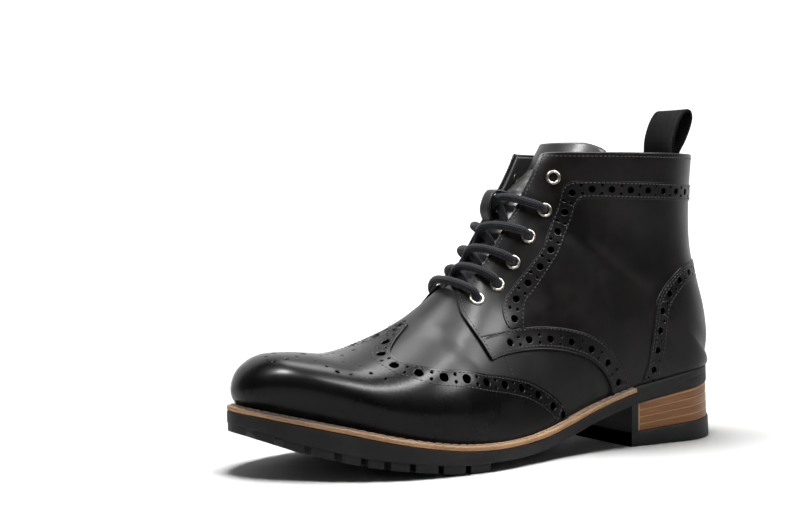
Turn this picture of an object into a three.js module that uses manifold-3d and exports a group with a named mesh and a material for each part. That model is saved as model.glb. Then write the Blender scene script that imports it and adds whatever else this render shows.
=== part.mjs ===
// Brogue boot for the left foot, empty, standing on its sole.
// Millimetres. Toe towards +X, outer side of the foot towards +Y, up +Z.
// Shapes are worked out from the back of the heel (x = 0) and the heel's own centre line (y = 0).
import * as THREE from "three";
import { mergeVertices } from "three/addons/utils/BufferGeometryUtils.js";
import Module from "manifold-3d";

const wasm = await Module();
wasm.setup();

// Driving sizes of the sole
const SOLE_LENGTH = 305;
const BALL_WIDTH = 108;
const HEEL_WIDTH = 71;
const HEEL_HEIGHT = 42.5;
const TOE_SPRING = 21;
const LUG_DEPTH = 4.2;
const RUBBER_THICKNESS = 6.4;
const WELT_THICKNESS = 2.8;
const WELT_LEDGE = 13;
const TOE_MARGIN = 6;
const SIDE_MARGIN = 5;
const HEEL_MARGIN = 2.8;
const HEEL_LENGTH = 79;
const HEEL_LEAN = 3.5;
const WELT_START = 75.5;
const FRONT_BLOCK = 4.8;
const STACK_INSET = 0.6;
const TOP_PIECE_FRONT = 8.1;
const TOP_PIECE_BACK = 12.8;
const LUG_GAP = 3.2;
const LUG_REACH = 17;
const INSOLE_THICKNESS = 3;

// Driving sizes of the upper
const SHAFT_HEIGHT = 164.3;
const COLLAR_WIDTH = 79;
const TOE_HEIGHT = 38;
const HEEL_BACK = 4;
const UPPER_WALL = 2;
const OVERLAY = 1.2;
const TRIM = 0.9;
const CLEAR = 0.3;
const THROAT_WIDTH = 0.2315 * BALL_WIDTH;

// Driving sizes of the fittings
const TONGUE_THICKNESS = 2.2;
const TONGUE_WIDTH = 64;
const EYELET_HOLE = 4.6;
const EYELET_FLANGE = 8.2;
const EYELET_WALL = 0.6;
const LACE_DIAMETER = 3.8;
const LOOP_WIDTH = 25;
const LOOP_THICKNESS = 1.6;
const LOOP_HEIGHT = 29;
const KEEPER_WIDTH = 8;
const KEEPER_THICKNESS = 1.4;

// Sizes that follow from those above
const FORE_HEIGHT = LUG_DEPTH + RUBBER_THICKNESS + WELT_THICKNESS;
const BODY_THICKNESS = RUBBER_THICKNESS + WELT_THICKNESS;
const COVER = CLEAR + OVERLAY;
const TRIM_START = COVER + CLEAR;
const TRIM_END = TRIM_START + TRIM;
const FAR = 400;

// Rows of a short table become objects with the named columns
function table(columns, rows) {
  return rows.map((row) => Object.fromEntries(columns.map((name, index) => [name, row[index]])));
}

// Smooth value of one column at a place between uneven rows
function smooth(rows, key, column, place) {
  const last = rows.length - 1;
  let index = 0;
  while (index < last - 1 && place > rows[index + 1][key]) {
    index += 1;
  }
  const slope = (k) => {
    const before = rows[Math.max(k - 1, 0)];
    const after = rows[Math.min(k + 1, last)];
    return (after[column] - before[column]) / (after[key] - before[key]);
  };
  const start = rows[index];
  const end = rows[index + 1];
  const span = end[key] - start[key];
  const t = THREE.MathUtils.clamp((place - start[key]) / span, 0, 1);
  const startPart = (2 * t ** 3 - 3 * t ** 2 + 1) * start[column];
  const endPart = (3 * t ** 2 - 2 * t ** 3) * end[column];
  const startSlope = (t ** 3 - 2 * t ** 2 + t) * slope(index) * span;
  const endSlope = (t ** 3 - t ** 2) * slope(index + 1) * span;
  return startPart + endPart + startSlope + endSlope;
}

// Half widths of the sole before its ends close, as shares of the heel or ball width
const OUTLINE = table(["x", "lateral", "medial"], [
  [0.0, 0.465 * HEEL_WIDTH, 0.465 * HEEL_WIDTH],
  [0.1, 0.497 * HEEL_WIDTH, 0.493 * HEEL_WIDTH],
  [0.235, 0.501 * HEEL_WIDTH, 0.487 * HEEL_WIDTH],
  [0.33, 0.343 * BALL_WIDTH, 0.302 * BALL_WIDTH],
  [0.42, 0.384 * BALL_WIDTH, 0.298 * BALL_WIDTH],
  [0.52, 0.463 * BALL_WIDTH, 0.347 * BALL_WIDTH],
  [0.6, 0.519 * BALL_WIDTH, 0.412 * BALL_WIDTH],
  [0.67, 0.537 * BALL_WIDTH, 0.454 * BALL_WIDTH],
  [0.72, 0.531 * BALL_WIDTH, 0.465 * BALL_WIDTH],
  [0.8, 0.487 * BALL_WIDTH, 0.459 * BALL_WIDTH],
  [0.88, 0.407 * BALL_WIDTH, 0.435 * BALL_WIDTH],
  [1.0, 0.259 * BALL_WIDTH, 0.389 * BALL_WIDTH],
]);
const HEEL_ROUND = 0.115;
const TOE_ROUND = 0.24;
const TOE_POWER = 2.1;

// How the line on which the upper stands rises towards heel and toe, and how the tread rises
const RISE = table(["x", "heel", "toe", "tread"], [
  [0.0, 1.0, 0.0, 0.0],
  [0.089, 0.925, 0.0, 0.0],
  [0.167, 0.811, 0.0, 0.0],
  [0.249, 0.667, 0.0, 0.0],
  [0.328, 0.46, 0.0, 0.0],
  [0.4, 0.237, 0.0, 0.0],
  [0.466, 0.082, 0.0, 0.0],
  [0.525, 0.014, 0.0, 0.0],
  [0.584, 0.0, 0.0, 0.0],
  [0.643, 0.0, 0.024, 0.0],
  [0.695, 0.0, 0.095, 0.03],
  [0.748, 0.0, 0.21, 0.125],
  [0.807, 0.0, 0.38, 0.24],
  [0.866, 0.0, 0.58, 0.405],
  [0.925, 0.0, 0.77, 0.63],
  [0.98, 0.0, 0.943, 0.93],
  [1.0, 0.0, 1.0, 1.02],
]);

// Width of the ledge between the sole's edge and the upper
const MARGIN = table(["x", "width"], [
  [0.0, HEEL_MARGIN],
  [0.22, HEEL_MARGIN],
  [0.45, SIDE_MARGIN],
  [0.85, TOE_MARGIN],
  [1.0, TOE_MARGIN],
]);

function column(rows, name, share) {
  return smooth(rows, "x", name, share);
}

// 1 along the sole, closing to 0 at the rounded ends
function endRound(share) {
  if (share <= 0 || share >= 1) {
    return 0;
  }
  if (share < HEEL_ROUND) {
    return Math.sqrt(1 - ((HEEL_ROUND - share) / HEEL_ROUND) ** 2);
  }
  if (share > 1 - TOE_ROUND) {
    return (1 - ((share - 1 + TOE_ROUND) / TOE_ROUND) ** TOE_POWER) ** (1 / TOE_POWER);
  }
  return 1;
}

function soleMiddle(share) {
  return (column(OUTLINE, "lateral", share) - column(OUTLINE, "medial", share)) / 2;
}

function soleHalf(share) {
  return (column(OUTLINE, "lateral", share) + column(OUTLINE, "medial", share)) / 2;
}

function seatHeight(x) {
  const share = x / SOLE_LENGTH;
  const heel = (HEEL_HEIGHT - FORE_HEIGHT) * column(RISE, "heel", share);
  return FORE_HEIGHT + heel + TOE_SPRING * column(RISE, "toe", share);
}

function treadHeight(x) {
  return Math.max(0, TOE_SPRING * column(RISE, "tread", x / SOLE_LENGTH));
}

// Underside of the rubber between the lugs, where the waist's thickness gives way to the tread
const BALL = 0.584;
function underside(x) {
  return x < BALL * SOLE_LENGTH ? seatHeight(x) - BODY_THICKNESS : treadHeight(x) + LUG_DEPTH;
}

function topPiece(x) {
  return THREE.MathUtils.mapLinear(x, 0, HEEL_LENGTH, TOP_PIECE_BACK, TOP_PIECE_FRONT);
}

// Sides of the sole's outline, pulled in by an inset all round
function soleSides(x, inset = 0) {
  const share = (x - inset) / (SOLE_LENGTH - 2 * inset);
  const half = Math.max(0, (soleHalf(share) - inset) * endRound(share));
  return { middle: soleMiddle(share), half };
}

// Sides of the line on which the upper stands, moved out by an offset
function featherSides(x, offset) {
  const back = HEEL_BACK - offset;
  const front = SOLE_LENGTH - TOE_MARGIN + offset;
  const share = THREE.MathUtils.clamp((x - back) / (front - back), 0, 1);
  const half = (soleHalf(share) - column(MARGIN, "width", share) + offset) * endRound(share);
  return { middle: soleMiddle(share), half: Math.max(0, half) };
}

// Closed solid through rings of equal length, each ring's point j facing its point n - 1 - j
function loft(rings) {
  const count = rings[0].length;
  const corners = [];
  const triangle = (a, b, c) => corners.push(...a, ...b, ...c);
  for (let i = 0; i + 1 < rings.length; i += 1) {
    for (let j = 0; j < count; j += 1) {
      const k = (j + 1) % count;
      triangle(rings[i][j], rings[i + 1][j], rings[i + 1][k]);
      triangle(rings[i][j], rings[i + 1][k], rings[i][k]);
    }
  }
  for (let j = 0; j + 1 < count / 2; j += 1) {
    const k = count - 1 - j;
    const first = rings[0];
    const last = rings[rings.length - 1];
    triangle(first[j], first[j + 1], first[k - 1]);
    triangle(first[j], first[k - 1], first[k]);
    triangle(last[j], last[k - 1], last[j + 1]);
    triangle(last[j], last[k], last[k - 1]);
  }
  const geometry = new THREE.BufferGeometry();
  geometry.setAttribute("position", new THREE.Float32BufferAttribute(corners, 3));
  return solidOf(geometry);
}

function signedVolume(positions, triangles) {
  const a = new THREE.Vector3();
  const b = new THREE.Vector3();
  const c = new THREE.Vector3();
  let volume = 0;
  for (let i = 0; i < triangles.length; i += 3) {
    a.fromArray(positions, 3 * triangles[i]);
    b.fromArray(positions, 3 * triangles[i + 1]);
    c.fromArray(positions, 3 * triangles[i + 2]);
    volume += a.dot(b.cross(c)) / 6;
  }
  return volume;
}

// A closed mesh becomes a solid that can be cut and joined
function solidOf(geometry) {
  const plain = geometry.clone();
  plain.deleteAttribute("normal");
  plain.deleteAttribute("uv");
  const merged = mergeVertices(plain, 1e-4);
  const positions = merged.getAttribute("position").array;
  const index = merged.getIndex().array;
  const triangles = [];
  for (let i = 0; i < index.length; i += 3) {
    const [a, b, c] = index.slice(i, i + 3);
    if (a !== b && b !== c && c !== a) {
      triangles.push(a, b, c);
    }
  }
  if (signedVolume(positions, triangles) < 0) {
    triangles.reverse();
  }
  const vertProperties = new Float32Array(positions);
  const triVerts = new Uint32Array(triangles);
  return new wasm.Manifold(new wasm.Mesh({ numProp: 3, vertProperties, triVerts }));
}

function geometryOf(solid) {
  const mesh = solid.getMesh();
  const geometry = new THREE.BufferGeometry();
  geometry.setAttribute("position", new THREE.BufferAttribute(new Float32Array(mesh.vertProperties), 3));
  geometry.setIndex(new THREE.BufferAttribute(new Uint32Array(mesh.triVerts), 1));
  const faceted = geometry.toNonIndexed();
  faceted.computeVertexNormals();
  return faceted;
}

// Places along the sole, close together at its round ends
const STATIONS = 38;
function stations(from, to) {
  const places = [from];
  for (let i = 1; i < STATIONS; i += 1) {
    const x = (SOLE_LENGTH * (1 - Math.cos((Math.PI * i) / STATIONS))) / 2;
    if (x > from + 1 && x < to - 1) {
      places.push(x);
    }
  }
  places.push(to);
  return places;
}

// Slab of the sole between two heights, its sides given by a function
function slab(from, to, low, high, sides) {
  return loft(stations(from, to).map((x) => {
    const { middle, half } = sides(x);
    return [
      [x, middle + half, low(x)],
      [x, middle + half, high(x)],
      [x, middle - half, high(x)],
      [x, middle - half, low(x)],
    ];
  }));
}

// Solid of a flat outline of (x, z) points, stretched across the boot between two y values
function across(points, fromY, toY) {
  const geometry = new THREE.ExtrudeGeometry(
    new THREE.Shape(points.map(([x, z]) => new THREE.Vector2(x, z))),
    { depth: toY - fromY, bevelEnabled: false },
  );
  const matrix = new THREE.Matrix4().set(1, 0, 0, 0, 0, 0, 1, fromY, 0, 1, 0, 0, 0, 0, 0, 1);
  return solidOf(geometry.applyMatrix4(matrix));
}

// The same, stretched at 45 degrees outwards and up, for outlines of (x, z - y) points
function aslant(points, side, fromY, toY) {
  const geometry = new THREE.ExtrudeGeometry(
    new THREE.Shape(points.map(([x, z]) => new THREE.Vector2(x, z))),
    { depth: toY - fromY, bevelEnabled: false },
  );
  const matrix = new THREE.Matrix4().set(
    1, 0, 0, 0,
    0, 0, side, side * fromY,
    0, 1, 1, fromY,
    0, 0, 0, 1,
  );
  return solidOf(geometry.applyMatrix4(matrix));
}

// Heel pieces lean forward with height
function lean(solid) {
  return solid.warp((point) => {
    const share = Math.max(0, 1 - point[0] / HEEL_LENGTH);
    point[0] += (HEEL_LEAN * share * point[2]) / HEEL_HEIGHT;
  });
}

// Sections of the forefoot. foot: place of the section's lower end along the line on which the
// upper stands; topX: its ridge, of the sole's length; lift: ridge above that line, of the toe
// height; bulge: widest point beyond that line, of the ball width; belly: height share of the
// widest point; side, rise: roundness; swing: how far the ridge follows the sole's middle;
// bare: share of the ridge that no outer piece covers.
const FOOT_ROWS = table(["foot", "topX", "lift", "bulge", "belly", "side", "rise", "swing", "bare"], [
  [1.0, 0.98, 0.0, 0.0, 0.4, 2.1, 2.1, 1, 0],
  [0.994, 0.991, 0.155, 0.004, 0.42, 2.1, 2.1, 1, 0],
  [0.977, 0.99, 0.374, 0.008, 0.42, 2.15, 2.1, 1, 0],
  [0.949, 0.974, 0.637, 0.013, 0.4, 2.2, 2.1, 1, 0],
  [0.912, 0.938, 0.85, 0.02, 0.38, 2.25, 2.1, 1, 0],
  [0.864, 0.884, 0.942, 0.022, 0.36, 2.2, 2.05, 1, 0],
  [0.81, 0.823, 1.0, 0.021, 0.33, 2.15, 1.95, 1, 0],
  [0.749, 0.762, 1.192, 0.019, 0.3, 2.1, 1.85, 0.8, 0],
  [0.685, 0.702, 1.458, 0.016, 0.27, 2.05, 1.78, 0.5, 0.6],
  [0.62, 0.652, 1.692, 0.013, 0.25, 2.0, 1.76, 0.2, 1],
]);

// Sections through instep and heel. top: height of the ridge, of the shaft height.
const INSTEP_ROWS = table(["foot", "topX", "top", "bulge", "belly", "side", "rise", "bare"], [
  [0.553, 0.615, 0.524, 0.011, 0.24, 2.0, 1.8, 0.8],
  [0.481, 0.585, 0.578, 0.01, 0.22, 2.0, 1.9, 0.2],
  [0.4, 0.561, 0.633, 0.01, 0.2, 2.05, 2.0, 0],
  [0.315, 0.541, 0.679, 0.011, 0.2, 2.1, 2.1, 0],
  [0.224, 0.523, 0.727, 0.013, 0.21, 2.15, 2.2, 0],
  [0.132, 0.507, 0.776, 0.015, 0.24, 2.15, 2.25, 0],
]);

// Sections through the back of the heel, whose half width is a share of the collar's width
const SEAT_ROWS = table(["foot", "topX", "top", "half", "belly", "side", "rise"], [
  [0.054, 0.493, 0.816, 0.434, 0.28, 2.1, 2.25],
  [0.012, 0.483, 0.849, 0.432, 0.31, 2.1, 2.2],
  [0.0, 0.477, 0.867, 0.43, 0.33, 2.1, 2.2],
]);

// Sections of the shaft, whose lower ends climb the back seam
const SHAFT_ROWS = table(["backX", "back", "topX", "top", "half", "belly", "side", "rise"], [
  [0.0033, 0.329, 0.469, 0.895, 0.428, 0.35, 2.1, 2.2],
  [0.0082, 0.426, 0.459, 0.919, 0.426, 0.38, 2.1, 2.15],
  [0.0295, 0.548, 0.449, 0.943, 0.433, 0.41, 2.05, 2.1],
  [0.0475, 0.682, 0.439, 0.965, 0.453, 0.44, 2.0, 2.05],
  [0.0525, 0.84, 0.4305, 0.983, 0.478, 0.46, 2.0, 2.0],
  [0.0492, 0.998, 0.423, 1.0, 0.5, 0.47, 2.0, 2.0],
]);
const ROWS = [...FOOT_ROWS, ...INSTEP_ROWS, ...SEAT_ROWS, ...SHAFT_ROWS];
const LAST_ROW = ROWS.length - 1;
const SEAT_ROW = LAST_ROW - SHAFT_ROWS.length;

// Lower end and ridge of one row on the boot's outermost surface, moved out by `grow`
function rowEnds(index, grow) {
  const row = ROWS[index];
  const back = HEEL_BACK - grow;
  const front = SOLE_LENGTH - TOE_MARGIN + grow;
  const onSeam = index > SEAT_ROW;
  const ax = onSeam ? row.backX * SOLE_LENGTH : back + row.foot * (front - back);
  const az = onSeam ? row.back * SHAFT_HEIGHT : seatHeight(ax);
  if (index === 0) {
    return { ax, az, bx: ax, bz: az };
  }
  const lifted = "lift" in row ? seatHeight(ax) + row.lift * TOE_HEIGHT : row.top * SHAFT_HEIGHT;
  return { ax, az, bx: row.topX * SOLE_LENGTH, bz: lifted };
}

const PLAIN_ENDS = ROWS.map((row, index) => rowEnds(index, 0));

// Unit vector square to the line through a row's neighbours, pointing away from the foot
function outward(index, xName, zName, first) {
  const before = PLAIN_ENDS[Math.max(index - 1, first)];
  const after = PLAIN_ENDS[Math.min(index + 1, LAST_ROW)];
  const along = new THREE.Vector2(after[xName] - before[xName], after[zName] - before[zName]);
  return new THREE.Vector2(along.y, -along.x).normalize();
}

// All rows for the surface at an offset from the base wall's outer face
const surfaces = new Map();
function surface(offset) {
  if (!surfaces.has(offset)) {
    const grow = offset - COVER;
    surfaces.set(offset, ROWS.map((row, index) => {
      const ends = rowEnds(index, grow);
      if (index > 0) {
        const ridgeGrow = offset - COVER * (1 - (row.bare ?? 0));
        const ridgeOut = outward(index, "bx", "bz", 0);
        ends.bx += ridgeGrow * ridgeOut.x;
        ends.bz += ridgeGrow * ridgeOut.y;
      }
      if (index > SEAT_ROW) {
        const seamOut = outward(index, "ax", "az", SEAT_ROW);
        ends.ax -= grow * seamOut.x;
        ends.az -= grow * seamOut.y;
      }
      const bulged = (row.bulge ?? 0) * BALL_WIDTH + featherSides(ends.ax, grow).half;
      const wide = "half" in row ? row.half * COLLAR_WIDTH + grow : bulged;
      return {
        ...ends,
        wide,
        belly: row.belly,
        side: row.side,
        rise: row.rise,
        swing: row.swing ?? 0,
      };
    }));
  }
  return surfaces.get(offset);
}

// Curve through the rows' values of one name
function between(rows, name, place) {
  const index = THREE.MathUtils.clamp(Math.floor(place), 0, LAST_ROW - 1);
  const t = place - index;
  const b = rows[index][name];
  const c = rows[index + 1][name];
  const a = index > 0 ? rows[index - 1][name] : 2 * b - c;
  const d = index + 2 <= LAST_ROW ? rows[index + 2][name] : 2 * c - b;
  const cubic = (3 * (b - c) + d - a) * t ** 3;
  return b + 0.5 * ((c - a) * t + (2 * a - 5 * b + 4 * c - d) * t ** 2 + cubic);
}

function section(place, offset) {
  const rows = surface(offset);
  const names = ["ax", "az", "bx", "bz", "wide", "belly", "side", "rise", "swing"];
  const values = Object.fromEntries(names.map((name) => [name, between(rows, name, place)]));
  let sides = { middle: 0, half: 0 };
  if (place <= SEAT_ROW) {
    values.ax = THREE.MathUtils.clamp(values.ax, rows[SEAT_ROW].ax, rows[0].ax);
    values.az = seatHeight(values.ax);
    sides = featherSides(values.ax, offset - COVER);
  }
  return { ...values, middle: sides.middle, half: sides.half, wide: Math.max(values.wide, sides.half) };
}

// Point of a section at a height share, a distance from its middle line
function placed(cut, share, side, distance) {
  const middle = cut.middle * (1 - share * (1 - cut.swing));
  return [
    cut.ax + share * (cut.bx - cut.ax),
    middle + side * distance,
    cut.az + share * (cut.bz - cut.az),
  ];
}

// Quarter turns: the first runs from the lower end out to the widest point, the second to the ridge
function lowerPoint(cut, turn, side) {
  const distance = cut.half + (cut.wide - cut.half) * Math.sin(turn);
  return placed(cut, cut.belly * (1 - Math.cos(turn)), side, distance);
}

function upperPoint(cut, turn, side) {
  const distance = cut.wide * Math.max(0, Math.cos(turn)) ** (2 / cut.side);
  const share = cut.belly + (1 - cut.belly) * Math.sin(turn) ** (2 / cut.rise);
  return placed(cut, share, side, distance);
}

// Point of the surface near the ridge at a given y
function ridgePoint(place, y, offset) {
  const cut = section(place, offset);
  const side = Math.sign(y) || 1;
  const turnAt = (distance) => Math.acos(Math.min(1, distance / cut.wide) ** (cut.side / 2));
  let turn = turnAt(Math.abs(y));
  for (let i = 0; i < 4; i += 1) {
    const share = cut.belly + (1 - cut.belly) * Math.sin(turn) ** (2 / cut.rise);
    const middle = cut.middle * (1 - share * (1 - cut.swing));
    turn = turnAt(Math.max(0, side * (y - middle)));
  }
  return new THREE.Vector3(...upperPoint(cut, turn, side));
}

function ridgeNormal(place, y) {
  const step = 0.05;
  const along = ridgePoint(place + step, y, COVER).sub(ridgePoint(place - step, y, COVER));
  const over = ridgePoint(place, y + step * 10, COVER).sub(ridgePoint(place, y - step * 10, COVER));
  const normal = along.cross(over).normalize();
  const out = ridgePoint(place, y, COVER + 1).sub(ridgePoint(place, y, COVER));
  return normal.dot(out) < 0 ? normal.negate() : normal;
}

const LOWER_STEPS = 3;
const UPPER_STEPS = 4;

// Closed ring of one section: down to `drop` below its lower ends, over the ridge and back
function ring(place, offset, drop) {
  const cut = section(place, offset);
  const half = (side) => {
    const points = [];
    for (let i = 0; i <= LOWER_STEPS; i += 1) {
      points.push(lowerPoint(cut, (i / LOWER_STEPS) * (Math.PI / 2), side));
    }
    for (let i = 1; i <= UPPER_STEPS; i += 1) {
      points.push(upperPoint(cut, (i / UPPER_STEPS) * (Math.PI / 2), side));
    }
    const onSeat = drop < 0 ? place <= SEAT_ROW : place < SEAT_ROW;
    const low = [points[0][0], points[0][1], points[0][2] - (onSeat ? drop : 0)];
    return [low, ...(drop < 0 ? [low] : [points[0]]), ...points.slice(1)];
  };
  return [...half(1), ...half(-1).reverse().slice(1)];
}

// Places of the rings, with more rows between those given where the upper bends most
const FINE_ROWS = [5, 6, 7, 8, 9, 13, 14, 15, 16, 17];
function ringPlaces() {
  return ROWS.flatMap((row, index) => (FINE_ROWS.includes(index) ? [index, index + 0.5] : [index]));
}

// Solid inside the upper's surface at an offset, from `drop` below its lower line to `top` above it
function form(offset, drop, top) {
  const rings = ringPlaces().map((place) => ring(place, offset, drop));
  if (top > 0) {
    const last = rings[rings.length - 1];
    rings.push(last.map(([x, y, z]) => [x, y, z + top]));
  }
  return loft(rings);
}

// Wall between two offsets of the upper's surface, open underneath and at the collar
const OPEN = 12;
function shell(inner, outer) {
  return form(outer, -CLEAR, 0).subtract(form(inner, OPEN, OPEN));
}

// Outlines of (x, z) points as shares of the sole's length and the shaft's height
function sideways(points) {
  return points.map(([x, z]) => [x * SOLE_LENGTH, z * SHAFT_HEIGHT]);
}

function above(points) {
  return [...points, [points[points.length - 1][0], 1.3], [points[0][0], 1.3]];
}

// Gap down the front, between the facings
const THROAT = [
  [0.56, 0.494],
  [0.668, 0.68],
  [0.69, 1.3],
  [0.3, 1.3],
  [0.3, 0.92],
];

// Lower and front edge of the quarters, from the heel forward and up to the lowest eyelet
const QUARTER_EDGE = [
  [-0.07, 0.03],
  [0.293, 0.03],
  [0.298, 0.192],
  [0.301, 0.218],
  [0.314, 0.255],
  [0.334, 0.289],
  [0.362, 0.32],
  [0.4, 0.341],
  [0.446, 0.354],
  [0.495, 0.355],
  [0.547, 0.348],
  [0.58, 0.336],
  [0.587, 0.369],
  [0.6, 0.433],
  [0.605, 0.478],
  [0.6, 0.516],
  [0.595, 0.57],
];

// Front edge of the heel counter
const COUNTER = [
  [-0.07, 0.03],
  [0.236, 0.03],
  [0.229, 0.217],
  [0.218, 0.278],
  [0.213, 0.33],
  [0.2075, 0.391],
  [0.2025, 0.452],
  [0.196, 0.495],
  [0.182, 0.534],
  [0.159, 0.576],
  [0.128, 0.61],
  [0.066, 0.632],
  [-0.07, 0.638],
];

// Punched band behind the eyelets and below the collar
const BAND = [
  [0.523, 0.428],
  [0.5285, 0.475],
  [0.517, 0.52],
  [0.477, 0.598],
  [0.455, 0.643],
  [0.4385, 0.678],
  [0.423, 0.729],
  [0.411, 0.774],
  [0.401, 0.815],
  [0.3915, 0.871],
  [0.38, 0.897],
  [0.36, 0.904],
  [0.25, 0.902],
  [-0.07, 0.892],
  [-0.07, 0.836],
  [0.25, 0.843],
  [0.345, 0.846],
  [0.361, 0.838],
  [0.375, 0.768],
  [0.3885, 0.718],
  [0.404, 0.667],
  [0.425, 0.617],
  [0.4385, 0.587],
  [0.46, 0.539],
  [0.478, 0.505],
  [0.488, 0.445],
  [0.488, 0.42],
];

// Upper edge of the wing tip seen at 45 degrees from each side: x of the sole's length, and height
// less the distance from the sole's middle, of the ball width
const WING_MIDDLE = 0.037;
const WING = [
  [0.397, -0.83],
  [0.397, -0.19],
  [0.407, -0.094],
  [0.427, -0.029],
  [0.457, 0.024],
  [0.498, 0.066],
  [0.539, 0.076],
  [0.608, 0.081],
  [0.657, 0.103],
  [0.691, 0.123],
  [0.715, 0.158],
  [0.748, 0.257],
  [0.753, 0.368],
  [0.729, 0.5],
  [0.679, 0.671],
  [0.672, 0.83],
  [1.08, 0.83],
  [1.08, -0.83],
];

function wingPrisms() {
  const middle = WING_MIDDLE * BALL_WIDTH;
  const points = WING.map(([x, s]) => [x * SOLE_LENGTH, s * BALL_WIDTH]);
  const reach = BALL_WIDTH;
  const halves = [1, -1].map((side) => aslant(points, side, -CLEAR / 10, reach));
  return halves[0].add(halves[1]).translate([0, middle, 0]);
}

function throatPrism() {
  return across(sideways(THROAT), -THROAT_WIDTH / 2, THROAT_WIDTH / 2);
}

// Keeps one side of the boot, up to half a clearance from the back seam
function oneSide(points, side) {
  const near = CLEAR / 2;
  return side > 0 ? across(points, near, FAR) : across(points, -FAR, -near);
}

// Eyelets, lowest first: place along the rows
const EYELETS = [11.09, 12.3, 13.63, 15.23, 18.32, 21.41];
const EYELET_FROM_EDGE = 0.0713 * BALL_WIDTH;
const EYELET_Y = THROAT_WIDTH / 2 + EYELET_FROM_EDGE;
const BARREL_RADIUS = EYELET_HOLE / 2 + EYELET_WALL;
const EYELET_SIDES = 8;
const FLANGE_HEIGHT = 1;

function standUp(geometry, place, y, offset) {
  const normal = ridgeNormal(place, y);
  const foot = ridgePoint(place, y, COVER).addScaledVector(normal, offset);
  const turn = new THREE.Quaternion().setFromUnitVectors(new THREE.Vector3(0, 1, 0), normal);
  return geometry.applyQuaternion(turn).translate(foot.x, foot.y, foot.z);
}

function eyeletHoles() {
  const radius = BARREL_RADIUS + 2 * CLEAR;
  const depth = 4 * (UPPER_WALL + COVER);
  const holes = EYELETS.flatMap((place) => [1, -1].map((side) => {
    const cylinder = new THREE.CylinderGeometry(radius, radius, depth, EYELET_SIDES);
    return solidOf(standUp(cylinder, place, side * EYELET_Y, 0));
  }));
  return holes.reduce((all, hole) => all.add(hole));
}

function eyelet(place, side) {
  const inner = EYELET_HOLE / 2;
  const outer = EYELET_FLANGE / 2;
  const bottom = -(UPPER_WALL + COVER + CLEAR);
  const profile = [
    [inner, bottom],
    [BARREL_RADIUS, bottom],
    [BARREL_RADIUS, CLEAR],
    [outer, CLEAR],
    [outer - 0.3, CLEAR + 0.7 * FLANGE_HEIGHT],
    [(outer + inner) / 2, CLEAR + FLANGE_HEIGHT],
    [inner, CLEAR + 0.6 * FLANGE_HEIGHT],
    [inner, bottom],
  ];
  const lathe = new THREE.LatheGeometry(profile.map(([r, h]) => new THREE.Vector2(r, h)), EYELET_SIDES);
  return solidOf(standUp(lathe, place, side * EYELET_Y, 0));
}

// Round cord through points given as [row, y, height above the quarters]
const CORD_SIDES = 8;
const CORD_STEP = 9;
function cord(places) {
  const points = places.map(([place, y, height]) => (
    ridgePoint(place, y, COVER).addScaledVector(ridgeNormal(place, y), height)
  ));
  const path = new THREE.CatmullRomCurve3(points);
  const circle = new THREE.Shape();
  circle.absarc(0, 0, LACE_DIAMETER / 2, 0, 2 * Math.PI);
  const steps = Math.ceil(path.getLength() / CORD_STEP);
  const options = { steps, bevelEnabled: false, extrudePath: path, curveSegments: CORD_SIDES / 2 };
  return solidOf(new THREE.ExtrudeGeometry(circle, options));
}

// Height of the cord's middle over an eyelet and over the facing's edge
const OVER_EYELET = CLEAR + FLANGE_HEIGHT + CLEAR + LACE_DIAMETER / 2;
const OVER_EDGE = OVER_EYELET + 0.7;
const IN_THROAT = THROAT_WIDTH / 2 - LACE_DIAMETER / 2 - 2 * CLEAR;

function laceBar() {
  const place = EYELETS[0];
  const edge = THROAT_WIDTH / 2;
  return cord([
    [place, EYELET_Y, OVER_EYELET],
    [place + 0.1, edge, OVER_EDGE],
    [place + 0.2, 0, OVER_EDGE],
    [place + 0.1, -edge, OVER_EDGE],
    [place, -EYELET_Y, OVER_EYELET],
  ]);
}

// Two strands, each from between the facings below up over the other facing's edge
function laceCrossing(pair) {
  const upper = EYELETS[pair];
  const lower = (EYELETS[pair - 1] + upper) / 2;
  const strand = (side) => cord([
    [lower, -side * IN_THROAT, 0],
    [lower + 0.45 * (upper - lower), 0, LACE_DIAMETER / 2],
    [lower + 0.75 * (upper - lower), side * (THROAT_WIDTH / 2 - 1), OVER_EDGE],
    [upper, side * EYELET_Y, OVER_EYELET],
  ]);
  return strand(1).add(strand(-1));
}

// Tongue: half width, of the tongue's; depth below the upper's inner face; curl: how much of the
// upper's roundness it takes. Places past the collar go on up and back.
const TONGUE = table(["place", "half", "depth", "curl"], [
  [7.9, 0.26, 0.9, 1],
  [8.8, 0.28, 1.2, 1],
  [9.6, 0.29, 1.8, 1],
  [10.4, 0.31, 2.2, 1],
  [11.2, 0.33, 2.8, 1],
  [12.3, 0.34, 3.5, 1],
  [13.6, 0.35, 4.1, 1],
  [15.2, 0.355, 4.4, 1],
  [16.8, 0.36, 4.6, 1],
  [18.3, 0.38, 5.0, 1],
  [20, 0.4, 6.4, 1],
  [22, 0.43, 9.0, 0.96],
  [24, 0.46, 12.4, 0.92],
  [25.5, 0.47, 14.0, 0.9],
  [27, 0.44, 15.5, 0.9],
]);
const TONGUE_LEAN = 2.4;
const TONGUE_RISE = 5.8;
const TONGUE_STEPS = 6;

function tonguePoint({ place, depth, curl }, y, thickness) {
  const beyond = Math.max(0, place - LAST_ROW);
  const row = Math.min(place, LAST_ROW - 0.1);
  const point = ridgePoint(row, y * curl, -UPPER_WALL - CLEAR);
  point.addScaledVector(ridgeNormal(row, 0), -depth - thickness);
  return [point.x - TONGUE_LEAN * beyond, y, point.z + TONGUE_RISE * beyond];
}

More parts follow.
